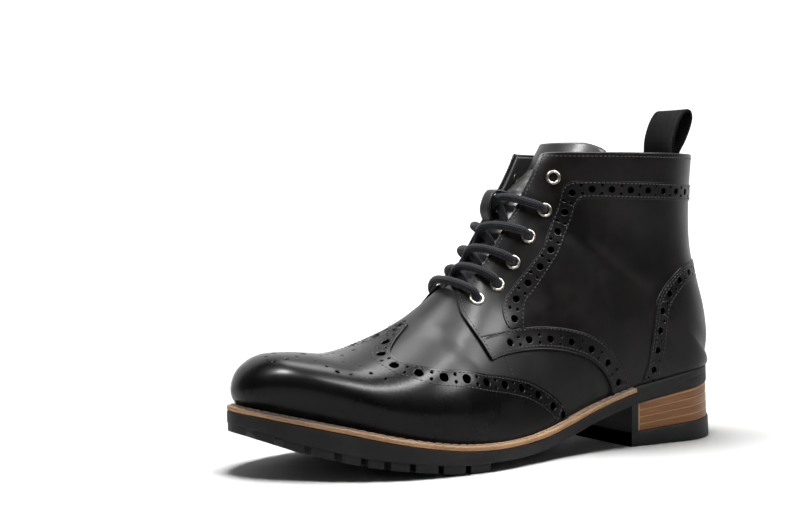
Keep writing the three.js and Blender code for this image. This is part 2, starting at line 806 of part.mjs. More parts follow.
function tongue() {
  return loft(TONGUE.map((row) => {
    const outer = [];
    const inner = [];
    for (let i = 0; i <= TONGUE_STEPS; i += 1) {
      const y = row.half * TONGUE_WIDTH * (1 - (2 * i) / TONGUE_STEPS);
      outer.push(tonguePoint(row, y, 0));
      inner.push(tonguePoint(row, y, TONGUE_THICKNESS));
    }
    return [...outer, ...inner.reverse()];
  }));
}

// Arch over the crossing of the fifth pair: place, and share of the way from tongue to arch
const KEEPER = [
  [15.7, 0],
  [15.9, 0.45],
  [16.3, 0.85],
  [17, 1],
  [17.7, 1],
  [18.4, 0.85],
  [18.8, 0.45],
  [19, 0],
];

function laceKeeper() {
  const arch = COVER + 1.5 * LACE_DIAMETER + 2 * CLEAR;
  return loft(KEEPER.map(([place, share]) => {
    const foot = 2 * CLEAR - UPPER_WALL - smooth(TONGUE, "place", "depth", place);
    const low = foot + share * (arch - foot);
    const high = low + KEEPER_THICKNESS;
    const y = KEEPER_WIDTH / 2;
    return [[y, low], [y, high], [-y, high], [-y, low]].map(([side, offset]) => (
      ridgePoint(place, side, offset).toArray()
    ));
  }));
}

// Loop of webbing inside the back of the collar: x from the wall's inner face and height above
// the collar, as shares of the loop's height
const PULL_LOOP = [
  [0.08, -0.5],
  [0.08, -0.2],
  [0.02, 0.08],
  [-0.12, 0.35],
  [-0.22, 0.62],
  [-0.25, 0.84],
  [-0.19, 0.97],
  [-0.05, 1.0],
  [0.08, 0.88],
  [0.18, 0.65],
  [0.23, 0.38],
  [0.21, 0.1],
  [0.18, -0.2],
  [0.18, -0.5],
];
const LOOP_SEGMENTS = 4;
const LOOP_BEND = 17;
const LOOP_FLATTENING = 0.75;

function pullLoop() {
  const wall = section(LAST_ROW, -UPPER_WALL).ax;
  const middle = wall + LOOP_THICKNESS / 2 + 2 * CLEAR;
  const points = PULL_LOOP.map(([x, z]) => (
    new THREE.Vector2(middle + x * LOOP_HEIGHT, SHAFT_HEIGHT + z * LOOP_HEIGHT - LOOP_THICKNESS)
  ));
  return loft(points.map((point, index) => {
    const before = points[Math.max(index - 1, 0)];
    const after = points[Math.min(index + 1, points.length - 1)];
    const along = after.clone().sub(before).normalize();
    const flat = 1 - LOOP_FLATTENING * THREE.MathUtils.clamp(PULL_LOOP[index][1], 0, 1);
    const inner = [];
    const outer = [];
    for (let i = 0; i <= LOOP_SEGMENTS; i += 1) {
      const y = LOOP_WIDTH * (0.5 - i / LOOP_SEGMENTS);
      const bend = (flat * y * y) / (2 * LOOP_BEND);
      const half = LOOP_THICKNESS / 2;
      outer.push([point.x + bend - along.y * half, y, point.y + along.x * half]);
      inner.push([point.x + bend + along.y * half, y, point.y - along.x * half]);
    }
    return [...outer, ...inner.reverse()];
  }));
}

// Grooves between the lugs, from the waist forward, as shares of the sole's length
const LUG_GAPS = [0.669, 0.721, 0.77, 0.81, 0.843, 0.879, 0.918, 0.954, 0.984];
const LUG_START = 0.622;
const LUG_INSET = 0.4;
const CHANNEL_START = 0.642;
const ISLAND_START = 0.652;
const ISLAND_REACH = LUG_REACH + 2 * LUG_GAP;

function lugs() {
  const high = (x) => underside(x) + 1;
  const sides = (x) => soleSides(x, LUG_INSET);
  const blocks = slab(LUG_START * SOLE_LENGTH, SOLE_LENGTH, treadHeight, high, sides);
  const channel = slab(
    CHANNEL_START * SOLE_LENGTH,
    SOLE_LENGTH - LUG_REACH,
    (x) => treadHeight(x) - 1,
    (x) => underside(x),
    (x) => ({ middle: soleMiddle(x / SOLE_LENGTH), half: soleSides(x, LUG_REACH + LUG_GAP).half }),
  );
  const island = slab(
    ISLAND_START * SOLE_LENGTH,
    SOLE_LENGTH - LUG_REACH - LUG_GAP,
    (x) => treadHeight(x) - 1,
    (x) => underside(x) + 1,
    (x) => soleSides(x, ISLAND_REACH),
  );
  return LUG_GAPS.reduce((cut, share) => {
    const from = share * SOLE_LENGTH - LUG_GAP / 2;
    const to = from + LUG_GAP;
    const top = underside(share * SOLE_LENGTH);
    return cut.subtract(across([[from, -1], [to, -1], [to, top], [from, top]], -FAR, FAR));
  }, blocks.subtract(channel.subtract(island)));
}

function outsole() {
  const weltBottom = (x) => seatHeight(x) - WELT_THICKNESS;
  const body = slab(0, SOLE_LENGTH, underside, weltBottom, (x) => soleSides(x));
  const rand = slab(0, WELT_START - CLEAR, (x) => weltBottom(x) - 1, seatHeight, (x) => soleSides(x));
  const pad = slab(
    WELT_START - CLEAR - 1,
    SOLE_LENGTH - WELT_LEDGE - CLEAR,
    (x) => weltBottom(x) - 1,
    seatHeight,
    (x) => soleSides(x, WELT_LEDGE + CLEAR),
  );
  const heel = slab(0, HEEL_LENGTH, () => 0, (x) => underside(x) + 1, (x) => soleSides(x));
  const hollow = slab(
    -1,
    HEEL_LENGTH - FRONT_BLOCK,
    topPiece,
    (x) => underside(Math.max(x, 0)),
    () => ({ middle: 0, half: HEEL_WIDTH }),
  );
  const block = heel.subtract(hollow);
  return lean(body.add(rand).add(pad).add(block)).add(lugs());
}

function heelStack() {
  const low = (x) => topPiece(x) + CLEAR;
  const high = (x) => underside(x) - CLEAR;
  const front = HEEL_LENGTH - FRONT_BLOCK - CLEAR;
  return lean(slab(STACK_INSET, front, low, high, (x) => soleSides(x, STACK_INSET)));
}

function welt() {
  const low = (x) => seatHeight(x) - WELT_THICKNESS + CLEAR;
  const strip = slab(WELT_START, SOLE_LENGTH, low, seatHeight, (x) => soleSides(x));
  const inside = slab(
    WELT_START - 10,
    SOLE_LENGTH - WELT_LEDGE,
    (x) => low(x) - 1,
    (x) => seatHeight(x) + 1,
    (x) => soleSides(x, WELT_LEDGE),
  );
  return strip.subtract(inside);
}

function insole() {
  const offset = -UPPER_WALL - 4 * CLEAR - COVER;
  return slab(
    HEEL_BACK - offset,
    SOLE_LENGTH - TOE_MARGIN + offset,
    (x) => seatHeight(x) + CLEAR,
    (x) => seatHeight(x) + CLEAR + INSOLE_THICKNESS,
    (x) => featherSides(x, offset),
  );
}

const throat = throatPrism();
const holes = eyeletHoles();

function upper() {
  return shell(-UPPER_WALL, 0).subtract(throat).subtract(holes);
}

function toeCap() {
  return shell(CLEAR, COVER).intersect(wingPrisms());
}

function quarter(side) {
  const outline = sideways(above(QUARTER_EDGE));
  return shell(CLEAR, COVER).intersect(oneSide(outline, side)).subtract(throat).subtract(holes);
}

function facingBand(side) {
  return shell(TRIM_START, TRIM_END).intersect(oneSide(sideways(BAND), side));
}

function heelCounter() {
  return shell(TRIM_START, TRIM_END).intersect(across(sideways(COUNTER), -FAR, FAR));
}

// Materials
const BLACK_LEATHER = { color: 0x1c1a19, roughness: 0.34, metalness: 0 };
const BLACK_RUBBER = { color: 0x232323, roughness: 0.75, metalness: 0 };
const TAN_LEATHER = { color: 0xa9794c, roughness: 0.6, metalness: 0 };
const LINING = { color: 0x2a2624, roughness: 0.8, metalness: 0 };
const NICKEL = { color: 0x9d978c, roughness: 0.28, metalness: 1 };
const CORD = { color: 0x26262a, roughness: 0.9, metalness: 0 };
const WEBBING = { color: 0x1d1d1e, roughness: 0.95, metalness: 0 };

const boot = new THREE.Group();

// The origin lies on the floor, in the middle of the sole's length and width
function sidewaysMiddle() {
  const edges = stations(0, SOLE_LENGTH).map((x) => soleSides(x));
  const lateral = Math.max(...edges.map(({ middle, half }) => middle + half));
  const medial = Math.min(...edges.map(({ middle, half }) => middle - half));
  return (lateral + medial) / 2;
}
const middleY = sidewaysMiddle();

function addPiece(name, solid, look) {
  const mesh = new THREE.Mesh(geometryOf(solid), new THREE.MeshStandardMaterial(look));
  mesh.name = name;
  mesh.position.set(-SOLE_LENGTH / 2, -middleY, 0);
  boot.add(mesh);
}

addPiece("outsole", outsole(), BLACK_RUBBER);
addPiece("heel_stack", heelStack(), TAN_LEATHER);
addPiece("welt", welt(), TAN_LEATHER);
addPiece("insole", insole(), LINING);
addPiece("upper", upper(), BLACK_LEATHER);
addPiece("toe_cap", toeCap(), BLACK_LEATHER);
addPiece("quarter_lateral", quarter(1), BLACK_LEATHER);
addPiece("quarter_medial", quarter(-1), BLACK_LEATHER);
addPiece("facing_band_lateral", facingBand(1), BLACK_LEATHER);
addPiece("facing_band_medial", facingBand(-1), BLACK_LEATHER);
addPiece("heel_counter", heelCounter(), BLACK_LEATHER);
addPiece("tongue", tongue(), BLACK_LEATHER);
addPiece("lace_keeper", laceKeeper(), BLACK_LEATHER);
addPiece("pull_loop", pullLoop(), WEBBING);
EYELETS.forEach((place, index) => {
  addPiece(`eyelet_lateral_${index + 1}`, eyelet(place, 1), NICKEL);
  addPiece(`eyelet_medial_${index + 1}`, eyelet(place, -1), NICKEL);
});
addPiece("lace_1", laceBar(), CORD);
for (let pair = 1; pair < EYELETS.length - 1; pair += 1) {
  addPiece(`lace_${pair + 1}`, laceCrossing(pair), CORD);
}

export default boot;
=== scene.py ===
# Left ankle boot of black polished leather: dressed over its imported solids.
# Sizes and tables are those of the part's source, in millimetres, from the heel's back and middle.
import math

import bmesh
import bpy
import numpy as np
from mathutils import Matrix, Vector, kdtree
from mathutils.geometry import delaunay_2d_cdt


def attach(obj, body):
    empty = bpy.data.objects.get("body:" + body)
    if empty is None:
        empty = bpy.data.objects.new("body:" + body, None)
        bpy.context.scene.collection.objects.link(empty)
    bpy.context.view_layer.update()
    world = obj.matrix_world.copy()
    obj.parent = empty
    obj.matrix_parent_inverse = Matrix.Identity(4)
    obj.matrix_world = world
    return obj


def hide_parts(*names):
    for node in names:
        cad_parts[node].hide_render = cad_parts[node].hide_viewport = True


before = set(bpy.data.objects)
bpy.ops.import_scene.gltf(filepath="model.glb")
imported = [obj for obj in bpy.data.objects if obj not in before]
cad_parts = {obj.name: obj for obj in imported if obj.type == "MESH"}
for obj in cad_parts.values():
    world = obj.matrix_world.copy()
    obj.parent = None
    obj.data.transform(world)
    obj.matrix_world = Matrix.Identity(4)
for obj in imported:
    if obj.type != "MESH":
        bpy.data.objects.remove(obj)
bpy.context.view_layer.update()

# Named sizes, millimetres
SOLE_LENGTH = 305
BALL_WIDTH = 108
HEEL_WIDTH = 71
HEEL_HEIGHT = 42.5
TOE_SPRING = 21
LUG_DEPTH = 4.2
WELT_THICKNESS = 2.8
WELT_LEDGE = 13
RUBBER_THICKNESS = 6.4
TOE_MARGIN = 6
SIDE_MARGIN = 5
HEEL_MARGIN = 2.8
HEEL_LENGTH = 79
HEEL_LEAN = 3.5
WELT_START = 75.5
FRONT_BLOCK = 4.8
TOP_PIECE_FRONT = 8.1
TOP_PIECE_BACK = 12.8
LUG_GAP = 3.2
LUG_REACH = 17
INSOLE_THICKNESS = 3
SHAFT_HEIGHT = 164.3
COLLAR_WIDTH = 79
TOE_HEIGHT = 38
HEEL_BACK = 4
UPPER_WALL = 2
OVERLAY = 1.2
CLEAR = 0.3
THROAT_WIDTH = 25
TONGUE_THICKNESS = 2.2
TONGUE_WIDTH = 64
LACE_DIAMETER = 3.8
LOOP_WIDTH = 25
LOOP_THICKNESS = 1.6
LOOP_HEIGHT = 29
KEEPER_WIDTH = 8
KEEPER_THICKNESS = 1.4
FORE_HEIGHT = LUG_DEPTH + RUBBER_THICKNESS + WELT_THICKNESS
BODY_THICKNESS = RUBBER_THICKNESS + WELT_THICKNESS
COVER = CLEAR + OVERLAY
TURN = math.pi / 2


def table(names, rows):
    columns = zip(*rows)
    return {name: np.array(column, float) for name, column in zip(names, columns)}


def smooth(xs, ys, x):
    """Smooth curve through uneven rows."""
    x = np.asarray(x, float)
    last = len(xs) - 1
    low = np.clip(np.searchsorted(xs, x, "left") - 1, 0, last - 1)
    before = np.maximum(np.arange(last + 1) - 1, 0)
    after = np.minimum(np.arange(last + 1) + 1, last)
    slope = (ys[after] - ys[before]) / (xs[after] - xs[before])
    span = xs[low + 1] - xs[low]
    t = np.clip((x - xs[low]) / span, 0, 1)
    rise = (2 * t**3 - 3 * t**2 + 1) * ys[low] + (3 * t**2 - 2 * t**3) * ys[low + 1]
    bend = (t**3 - 2 * t**2 + t) * slope[low] + (t**3 - t**2) * slope[low + 1]
    return rise + bend * span


# Sole
OUTLINE = table(["x", "lateral", "medial"], [
    [0.0, 0.465 * HEEL_WIDTH, 0.465 * HEEL_WIDTH],
    [0.1, 0.497 * HEEL_WIDTH, 0.493 * HEEL_WIDTH],
    [0.235, 0.501 * HEEL_WIDTH, 0.487 * HEEL_WIDTH],
    [0.33, 0.343 * BALL_WIDTH, 0.302 * BALL_WIDTH],
    [0.42, 0.384 * BALL_WIDTH, 0.298 * BALL_WIDTH],
    [0.52, 0.463 * BALL_WIDTH, 0.347 * BALL_WIDTH],
    [0.6, 0.519 * BALL_WIDTH, 0.412 * BALL_WIDTH],
    [0.67, 0.537 * BALL_WIDTH, 0.454 * BALL_WIDTH],
    [0.72, 0.531 * BALL_WIDTH, 0.465 * BALL_WIDTH],
    [0.8, 0.487 * BALL_WIDTH, 0.459 * BALL_WIDTH],
    [0.88, 0.407 * BALL_WIDTH, 0.435 * BALL_WIDTH],
    [1.0, 0.259 * BALL_WIDTH, 0.389 * BALL_WIDTH],
])
HEEL_ROUND = 0.115
TOE_ROUND = 0.24
TOE_POWER = 2.1
RISE = table(["x", "heel", "toe", "tread"], [
    [0.0, 1.0, 0.0, 0.0],
    [0.089, 0.925, 0.0, 0.0],
    [0.167, 0.811, 0.0, 0.0],
    [0.249, 0.667, 0.0, 0.0],
    [0.328, 0.46, 0.0, 0.0],
    [0.4, 0.237, 0.0, 0.0],
    [0.466, 0.082, 0.0, 0.0],
    [0.525, 0.014, 0.0, 0.0],
    [0.584, 0.0, 0.0, 0.0],
    [0.643, 0.0, 0.024, 0.0],
    [0.695, 0.0, 0.095, 0.03],
    [0.748, 0.0, 0.21, 0.125],
    [0.807, 0.0, 0.38, 0.24],
    [0.866, 0.0, 0.58, 0.405],
    [0.925, 0.0, 0.77, 0.63],
    [0.98, 0.0, 0.943, 0.93],
    [1.0, 0.0, 1.0, 1.02],
])
MARGIN = table(["x", "width"], [
    [0.0, HEEL_MARGIN],
    [0.22, HEEL_MARGIN],
    [0.45, SIDE_MARGIN],
    [0.85, TOE_MARGIN],
    [1.0, TOE_MARGIN],
])
BALL = 0.584


def end_round(share):
    share = np.clip(share, 0, 1)
    heel = np.sqrt(np.maximum(0, 1 - (np.maximum(0, HEEL_ROUND - share) / HEEL_ROUND) ** 2))
    ahead = np.maximum(0, share - 1 + TOE_ROUND) / TOE_ROUND
    return heel * np.maximum(0, 1 - ahead**TOE_POWER) ** (1 / TOE_POWER)


def sole_middle(share):
    lateral = smooth(OUTLINE["x"], OUTLINE["lateral"], share)
    return (lateral - smooth(OUTLINE["x"], OUTLINE["medial"], share)) / 2


def sole_half(share):
    lateral = smooth(OUTLINE["x"], OUTLINE["lateral"], share)
    return (lateral + smooth(OUTLINE["x"], OUTLINE["medial"], share)) / 2


def seat_height(x):
    share = x / SOLE_LENGTH
    heel = (HEEL_HEIGHT - FORE_HEIGHT) * smooth(RISE["x"], RISE["heel"], share)
    return FORE_HEIGHT + heel + TOE_SPRING * smooth(RISE["x"], RISE["toe"], share)


def tread_height(x):
    return np.maximum(0, TOE_SPRING * smooth(RISE["x"], RISE["tread"], x / SOLE_LENGTH))


def underside(x):
    waist = seat_height(x) - BODY_THICKNESS
    return np.where(x < BALL * SOLE_LENGTH, waist, tread_height(x) + LUG_DEPTH)


def top_piece(x):
    return TOP_PIECE_BACK + (TOP_PIECE_FRONT - TOP_PIECE_BACK) * x / HEEL_LENGTH


def feather_sides(x, offset):
    """Middle and half width of the line on which the upper stands."""
    back = HEEL_BACK - offset
    front = SOLE_LENGTH - TOE_MARGIN + offset
    share = np.clip((x - back) / (front - back), 0, 1)
    margin = smooth(MARGIN["x"], MARGIN["width"], share)
    half = (sole_half(share) - margin + offset) * end_round(share)
    return sole_middle(share), np.maximum(0, half)


# Upper: the last's sections from toe to collar
FOOT_NAMES = ["foot", "topX", "lift", "bulge", "belly", "side", "rise", "swing", "bare"]
FOOT_ROWS = [
    [1.0, 0.98, 0.0, 0.0, 0.4, 2.1, 2.1, 1, 0],
    [0.994, 0.991, 0.155, 0.004, 0.42, 2.1, 2.1, 1, 0],
    [0.977, 0.99, 0.374, 0.008, 0.42, 2.15, 2.1, 1, 0],
    [0.949, 0.974, 0.637, 0.013, 0.4, 2.2, 2.1, 1, 0],
    [0.912, 0.938, 0.85, 0.02, 0.38, 2.25, 2.1, 1, 0],
    [0.864, 0.884, 0.942, 0.022, 0.36, 2.2, 2.05, 1, 0],
    [0.81, 0.823, 1.0, 0.021, 0.33, 2.15, 1.95, 1, 0],
    [0.749, 0.762, 1.192, 0.019, 0.3, 2.1, 1.85, 0.8, 0],
    [0.685, 0.702, 1.458, 0.016, 0.27, 2.05, 1.78, 0.5, 0.6],
    [0.62, 0.652, 1.692, 0.013, 0.25, 2.0, 1.76, 0.2, 1],
]
INSTEP_NAMES = ["foot", "topX", "top", "bulge", "belly", "side", "rise", "bare"]
INSTEP_ROWS = [
    [0.553, 0.615, 0.524, 0.011, 0.24, 2.0, 1.8, 0.8],
    [0.481, 0.585, 0.578, 0.01, 0.22, 2.0, 1.9, 0.2],
    [0.4, 0.561, 0.633, 0.01, 0.2, 2.05, 2.0, 0],
    [0.315, 0.541, 0.679, 0.011, 0.2, 2.1, 2.1, 0],
    [0.224, 0.523, 0.727, 0.013, 0.21, 2.15, 2.2, 0],
    [0.132, 0.507, 0.776, 0.015, 0.24, 2.15, 2.25, 0],
]
SEAT_NAMES = ["foot", "topX", "top", "half", "belly", "side", "rise"]
SEAT_ROWS = [
    [0.054, 0.493, 0.816, 0.434, 0.28, 2.1, 2.25],
    [0.012, 0.483, 0.849, 0.432, 0.31, 2.1, 2.2],
    [0.0, 0.477, 0.867, 0.43, 0.33, 2.1, 2.2],
]
SHAFT_NAMES = ["backX", "back", "topX", "top", "half", "belly", "side", "rise"]
SHAFT_ROWS = [
    [0.0033, 0.329, 0.469, 0.895, 0.428, 0.35, 2.1, 2.2],
    [0.0082, 0.426, 0.459, 0.919, 0.426, 0.38, 2.1, 2.15],
    [0.0295, 0.548, 0.449, 0.943, 0.433, 0.41, 2.05, 2.1],
    [0.0475, 0.682, 0.439, 0.965, 0.453, 0.44, 2.0, 2.05],
    [0.0525, 0.84, 0.4305, 0.983, 0.478, 0.46, 2.0, 2.0],
    [0.0492, 0.998, 0.423, 1.0, 0.5, 0.47, 2.0, 2.0],
]
ROWS = []
for names, rows in (
    (FOOT_NAMES, FOOT_ROWS),
    (INSTEP_NAMES, INSTEP_ROWS),
    (SEAT_NAMES, SEAT_ROWS),
    (SHAFT_NAMES, SHAFT_ROWS),
):
    ROWS += [dict(zip(names, row)) for row in rows]
LAST_ROW = len(ROWS) - 1
SEAT_ROW = LAST_ROW - len(SHAFT_ROWS)


def row_ends(index, grow):
    row = ROWS[index]
    back = HEEL_BACK - grow
    front = SOLE_LENGTH - TOE_MARGIN + grow
    if index > SEAT_ROW:
        ax, az = row["backX"] * SOLE_LENGTH, row["back"] * SHAFT_HEIGHT
    else:
        ax = back + row["foot"] * (front - back)
        az = float(seat_height(ax))
    if index == 0:
        return [ax, az, ax, az]
    if "lift" in row:
        top = float(seat_height(ax)) + row["lift"] * TOE_HEIGHT
    else:
        top = row["top"] * SHAFT_HEIGHT
    return [ax, az, row["topX"] * SOLE_LENGTH, top]


PLAIN_ENDS = [row_ends(index, 0) for index in range(len(ROWS))]


def outward(index, column, first):
    before = PLAIN_ENDS[max(index - 1, first)]
    after = PLAIN_ENDS[min(index + 1, LAST_ROW)]
    x, z = after[column] - before[column], after[column + 1] - before[column + 1]
    length = math.hypot(x, z)
    return z / length, -x / length


def surface_rows(offset):
    """Every row's values for the surface at an offset from the base wall's outer face."""
    grow = offset - COVER
    rows = []
    for index, row in enumerate(ROWS):
        ax, az, bx, bz = row_ends(index, grow)
        if index > 0:
            ridge_grow = offset - COVER * (1 - row.get("bare", 0))
            x, z = outward(index, 2, 0)
            bx += ridge_grow * x
            bz += ridge_grow * z
        if index > SEAT_ROW:
            x, z = outward(index, 0, SEAT_ROW)
            ax -= grow * x
            az -= grow * z
        if "half" in row:
            wide = row["half"] * COLLAR_WIDTH + grow
        else:
            wide = row["bulge"] * BALL_WIDTH + float(feather_sides(ax, grow)[1])
        rows.append([ax, az, bx, bz, wide, row["belly"], row["side"], row["rise"], row.get("swing", 0)])
    return np.array(rows)


# Fullness of the heel's lower back and its reach in rows, ease of the normals there, step of a fold's slope
HEEL_FULLNESS = 0.1
HEEL_SPREAD = 1.2
SEAT_EASE = 0.7
FOLD_STEP = 0.4
OFFSETS = (0, COVER)
SURFACES = [surface_rows(offset) for offset in OFFSETS]


def between(rows, place):
    low = np.clip(np.floor(place).astype(int), 0, LAST_ROW - 1)
    t = (place - low)[:, None]
    padded = np.vstack([2 * rows[0] - rows[1], rows, 2 * rows[-1] - rows[-2]])
    a, b, c, d = (padded[low + k] for k in range(4))
    cubic = (3 * (b - c) + d - a) * t**3
    return b + 0.5 * ((c - a) * t + (2 * a - 5 * b + 4 * c - d) * t**2 + cubic)


def bare_skin(place, across, which):
    """Points of one surface. across: 0 on the ridge, 1 at the widest point, 2 at the lower end."""
    rows = SURFACES[which]
    ax, az, bx, bz, wide, belly, side, rise, swing = between(rows, place).T
    seated = place <= SEAT_ROW
    held = np.clip(ax, rows[SEAT_ROW][0], rows[0][0])
    ax = np.where(seated, held, ax)
    az = np.where(seated, seat_height(np.where(seated, held, 0)), az)
    middle, half = feather_sides(ax, OFFSETS[which] - COVER)
    middle = np.where(seated, middle, 0)
    half = np.where(seated, half, 0)
    wide = np.maximum(wide, half)
    reach = 2 - np.abs(across)
    low_turn = np.clip(reach, 0, 1) * TURN
    high_turn = np.clip(reach - 1, 0, 1) * TURN
    low = reach < 1
    fullness = HEEL_FULLNESS * np.exp(-(((place - SEAT_ROW) / HEEL_SPREAD) ** 2))
    swell = np.sin(low_turn) * (1 + fullness * (1 - np.sin(low_turn)))
    distance = np.where(
        low,
        half + (wide - half) * swell,
        wide * np.maximum(0, np.cos(high_turn)) ** (2 / side),
    )
    share = np.where(
        low,
        belly * (1 - np.cos(low_turn)),
        belly + (1 - belly) * np.sin(high_turn) ** (2 / rise),
    )
    middle = middle * (1 - share * (1 - swing))
    return np.column_stack([
        ax + share * (bx - ax),
        middle + np.sign(across) * distance,
        az + share * (bz - az),
    ])


# Soft folds: start and end (x, z), side, depth (a ridge is negative), width, millimetres
FOLDS = [
    (118, 128, 92, 100, 1, 0.7, 7),
    (100, 118, 70, 96, 1, -0.5, 6),
    (150, 66, 112, 76, 1, 0.6, 6),
    (146, 74, 104, 88, 1, -0.5, 6),
    (60, 92, 74, 122, 1, 0.5, 8),
    (118, 128, 92, 100, -1, 0.7, 7),
    (150, 66, 112, 76, -1, 0.7, 6),
    (146, 74, 104, 88, -1, -0.5, 6),
    (60, 92, 74, 122, -1, 0.5, 8),
    (196, 68, 182, 46, 1, 0.35, 4),
    (206, 64, 193, 42, 1, -0.3, 4),
    (196, 68, 182, 46, -1, 0.4, 4),
    (206, 64, 193, 42, -1, -0.3, 4),
]


def folds(points):
    depth = np.zeros(len(points))
    for x0, z0, x1, z1, side, deep, width in FOLDS:
        along = np.array([x1 - x0, z1 - z0], float)
        length = np.hypot(*along)
        along /= length
        away = points[:, [0, 2]] - (x0, z0)
        run = away @ along
        aside = away @ (-along[1], along[0])
        past = np.maximum(0, np.maximum(-run, run - length))
        near = np.exp(-((aside / width) ** 2) - (past / (1.6 * width)) ** 2)
        depth -= deep * near * (np.sign(points[:, 1]) == side)
    return depth


def layered(place, across, offset):
    inner = bare_skin(place, across, 0)
    outer = bare_skin(place, across, 1)
    return inner + (outer - inner) * (np.asarray(offset, float) / COVER).reshape(-1, 1)


def unit(vectors):
    return vectors / np.maximum(np.linalg.norm(vectors, axis=1, keepdims=True), 1e-12)


STEP = 0.004


def slopes(place, across, offset=0.0, ease=0.0):
    """Directions along the last and across it; `ease` rounds the bend over the heel seat."""
    place = np.clip(place, STEP, LAST_ROW - STEP)
    side = np.where(across < 0, -1.0, 1.0)
    across = np.where(np.abs(across) > 2 - STEP, (2 - STEP) * side, across)
    reach = STEP + ease * np.exp(-(((place - SEAT_ROW) / 0.8) ** 2))
    ahead, behind = np.minimum(place + reach, LAST_ROW), place - reach
    along = (layered(ahead, across, offset) - layered(behind, across, offset)) / (ahead - behind)[:, None]
    over = (layered(place, across + STEP, offset) - layered(place, across - STEP, offset)) / (2 * STEP)
    return along, over


def normals(place, across, offset=0.0):
    along, over = slopes(place, across, offset)
    return unit(np.cross(over, along))


def skin(place, across, offset=0.0):
    """Points and outward normals of the upper's surface, folds and all."""
    place = np.asarray(place, float)
    across = np.asarray(across, float)
    offset = np.broadcast_to(np.asarray(offset, float), place.shape)
    points = layered(place, across, offset)
    along, over = slopes(place, across, offset, SEAT_EASE)
    normal = unit(np.cross(over, along))
    depth = folds(points)
    tilt_a = (folds(points + unit(along) * FOLD_STEP) - depth) / FOLD_STEP
    tilt_b = (folds(points + unit(over) * FOLD_STEP) - depth) / FOLD_STEP
    tilted = unit(normal - unit(along) * tilt_a[:, None] - unit(over) * tilt_b[:, None])
    return points + normal * depth[:, None], tilted


# Patterns: lines on the last, as places along it and across it
WING_MIDDLE = 0.037


def beside_middle(points):
    return np.abs(points[:, 1] - WING_MIDDLE * BALL_WIDTH)


VIEWS = {
    "side": lambda points: points[:, [0, 2]],
    "slant": lambda points: np.column_stack([points[:, 0], points[:, 2] - beside_middle(points)]),
    "top": lambda points: points[:, [0, 1]],
}
COARSE_PLACES = np.linspace(0.02, LAST_ROW, 260)
COARSE_ACROSS = np.linspace(0.0, 2.0, 81)


def coarse_net(side):
    place, across = np.meshgrid(COARSE_PLACES, COARSE_ACROSS, indexing="ij")
    place, across = place.ravel(), across.ravel() * side
    return place, across, layered(place, across, COVER)


NETS = {side: coarse_net(side) for side in (1, -1)}


def find(targets, side, view="side"):
    """Places on the last that lie at the given points in a flat view."""
    targets = np.asarray(targets, float)
    place, across, points = NETS[side]
    flat = VIEWS[view](points)
    near = [int(np.argmin(((flat - target) ** 2).sum(1))) for target in targets]
    u, s = place[near].copy(), across[near].copy()
    for _ in range(6):
        here = VIEWS[view](layered(u, s, COVER))
        ahead = VIEWS[view](layered(np.minimum(u + STEP, LAST_ROW), s, COVER))
        over = VIEWS[view](layered(u, s + STEP * side * 0.5, COVER))
        a = (ahead - here) / STEP
        b = (over - here) / (STEP * side * 0.5)
        miss = targets - here
        det = a[:, 0] * b[:, 1] - a[:, 1] * b[:, 0]
        det = np.where(np.abs(det) < 1e-3, 1e9, det)
        du = (miss[:, 0] * b[:, 1] - miss[:, 1] * b[:, 0]) / det
        ds = (a[:, 0] * miss[:, 1] - a[:, 1] * miss[:, 0]) / det
        u = np.clip(u + np.clip(du, -0.15, 0.15), 0, LAST_ROW)
        s = side * np.clip(side * (s + np.clip(ds, -0.05, 0.05)), 0, 2)
    return np.column_stack([u, s])


def run_of(points):
    """Length of a line of points up to each of them."""
    return np.concatenate([[0], np.cumsum(np.linalg.norm(np.diff(points, axis=0), axis=1))])

def curve_through(points, step=1.0):
    """Smooth flat curve through a table's points."""
    points = np.asarray(points, float)
    run = np.concatenate([[0], np.cumsum(np.hypot(*np.diff(points, axis=0).T))])
    fine = np.linspace(0, run[-1], max(2, int(run[-1] / step) + 1))
    return np.column_stack([smooth(run, points[:, 0], fine), smooth(run, points[:, 1], fine)])


def spots(line, offset=COVER):
    return layered(line[:, 0], line[:, 1], offset)


def walk(line, step=None, count=None, start=0.0, end=0.0):
    """The line's places at even steps in millimetres."""
    points = spots(line)
    run = run_of(points)
    length = run[-1] - start - end
    if count is None:
        count = max(2, int(round(length / step)) + 1)
    marks = np.linspace(start, run[-1] - end, count)
    return np.column_stack([np.interp(marks, run, line[:, 0]), np.interp(marks, run, line[:, 1])])


def settle(line, targets):
    """Places of the surface's points nearest to targets close by."""
    line = line.copy()
    for _ in range(3):
        along, over = slopes(line[:, 0], line[:, 1], COVER)
        miss = targets - spots(line)
        aa, bb, ab = (along * along).sum(1), (over * over).sum(1), (along * over).sum(1)
        ma, mb = (miss * along).sum(1), (miss * over).sum(1)
        det = np.maximum(aa * bb - ab * ab, 1e-6)
        line[:, 0] += np.clip((ma * bb - mb * ab) / det, -0.3, 0.3)
        line[:, 1] += np.clip((mb * aa - ma * ab) / det, -0.06, 0.06)
        line[:, 0] = np.clip(line[:, 0], 0.02, LAST_ROW)
        line[:, 1] = np.clip(line[:, 1], -2, 2)
    return line


def shifted(line, aside):
    """Line moved aside over the leather by millimetres, to its left seen from outside."""
    ahead = unit(np.gradient(spots(line), axis=0))
    steps = max(1, int(math.ceil(abs(aside) / 1.5)))
    for _ in range(steps):
        left = unit(np.cross(normals(line[:, 0], line[:, 1], COVER), ahead))
        line = settle(line, spots(line) + left * aside / steps)
    return line


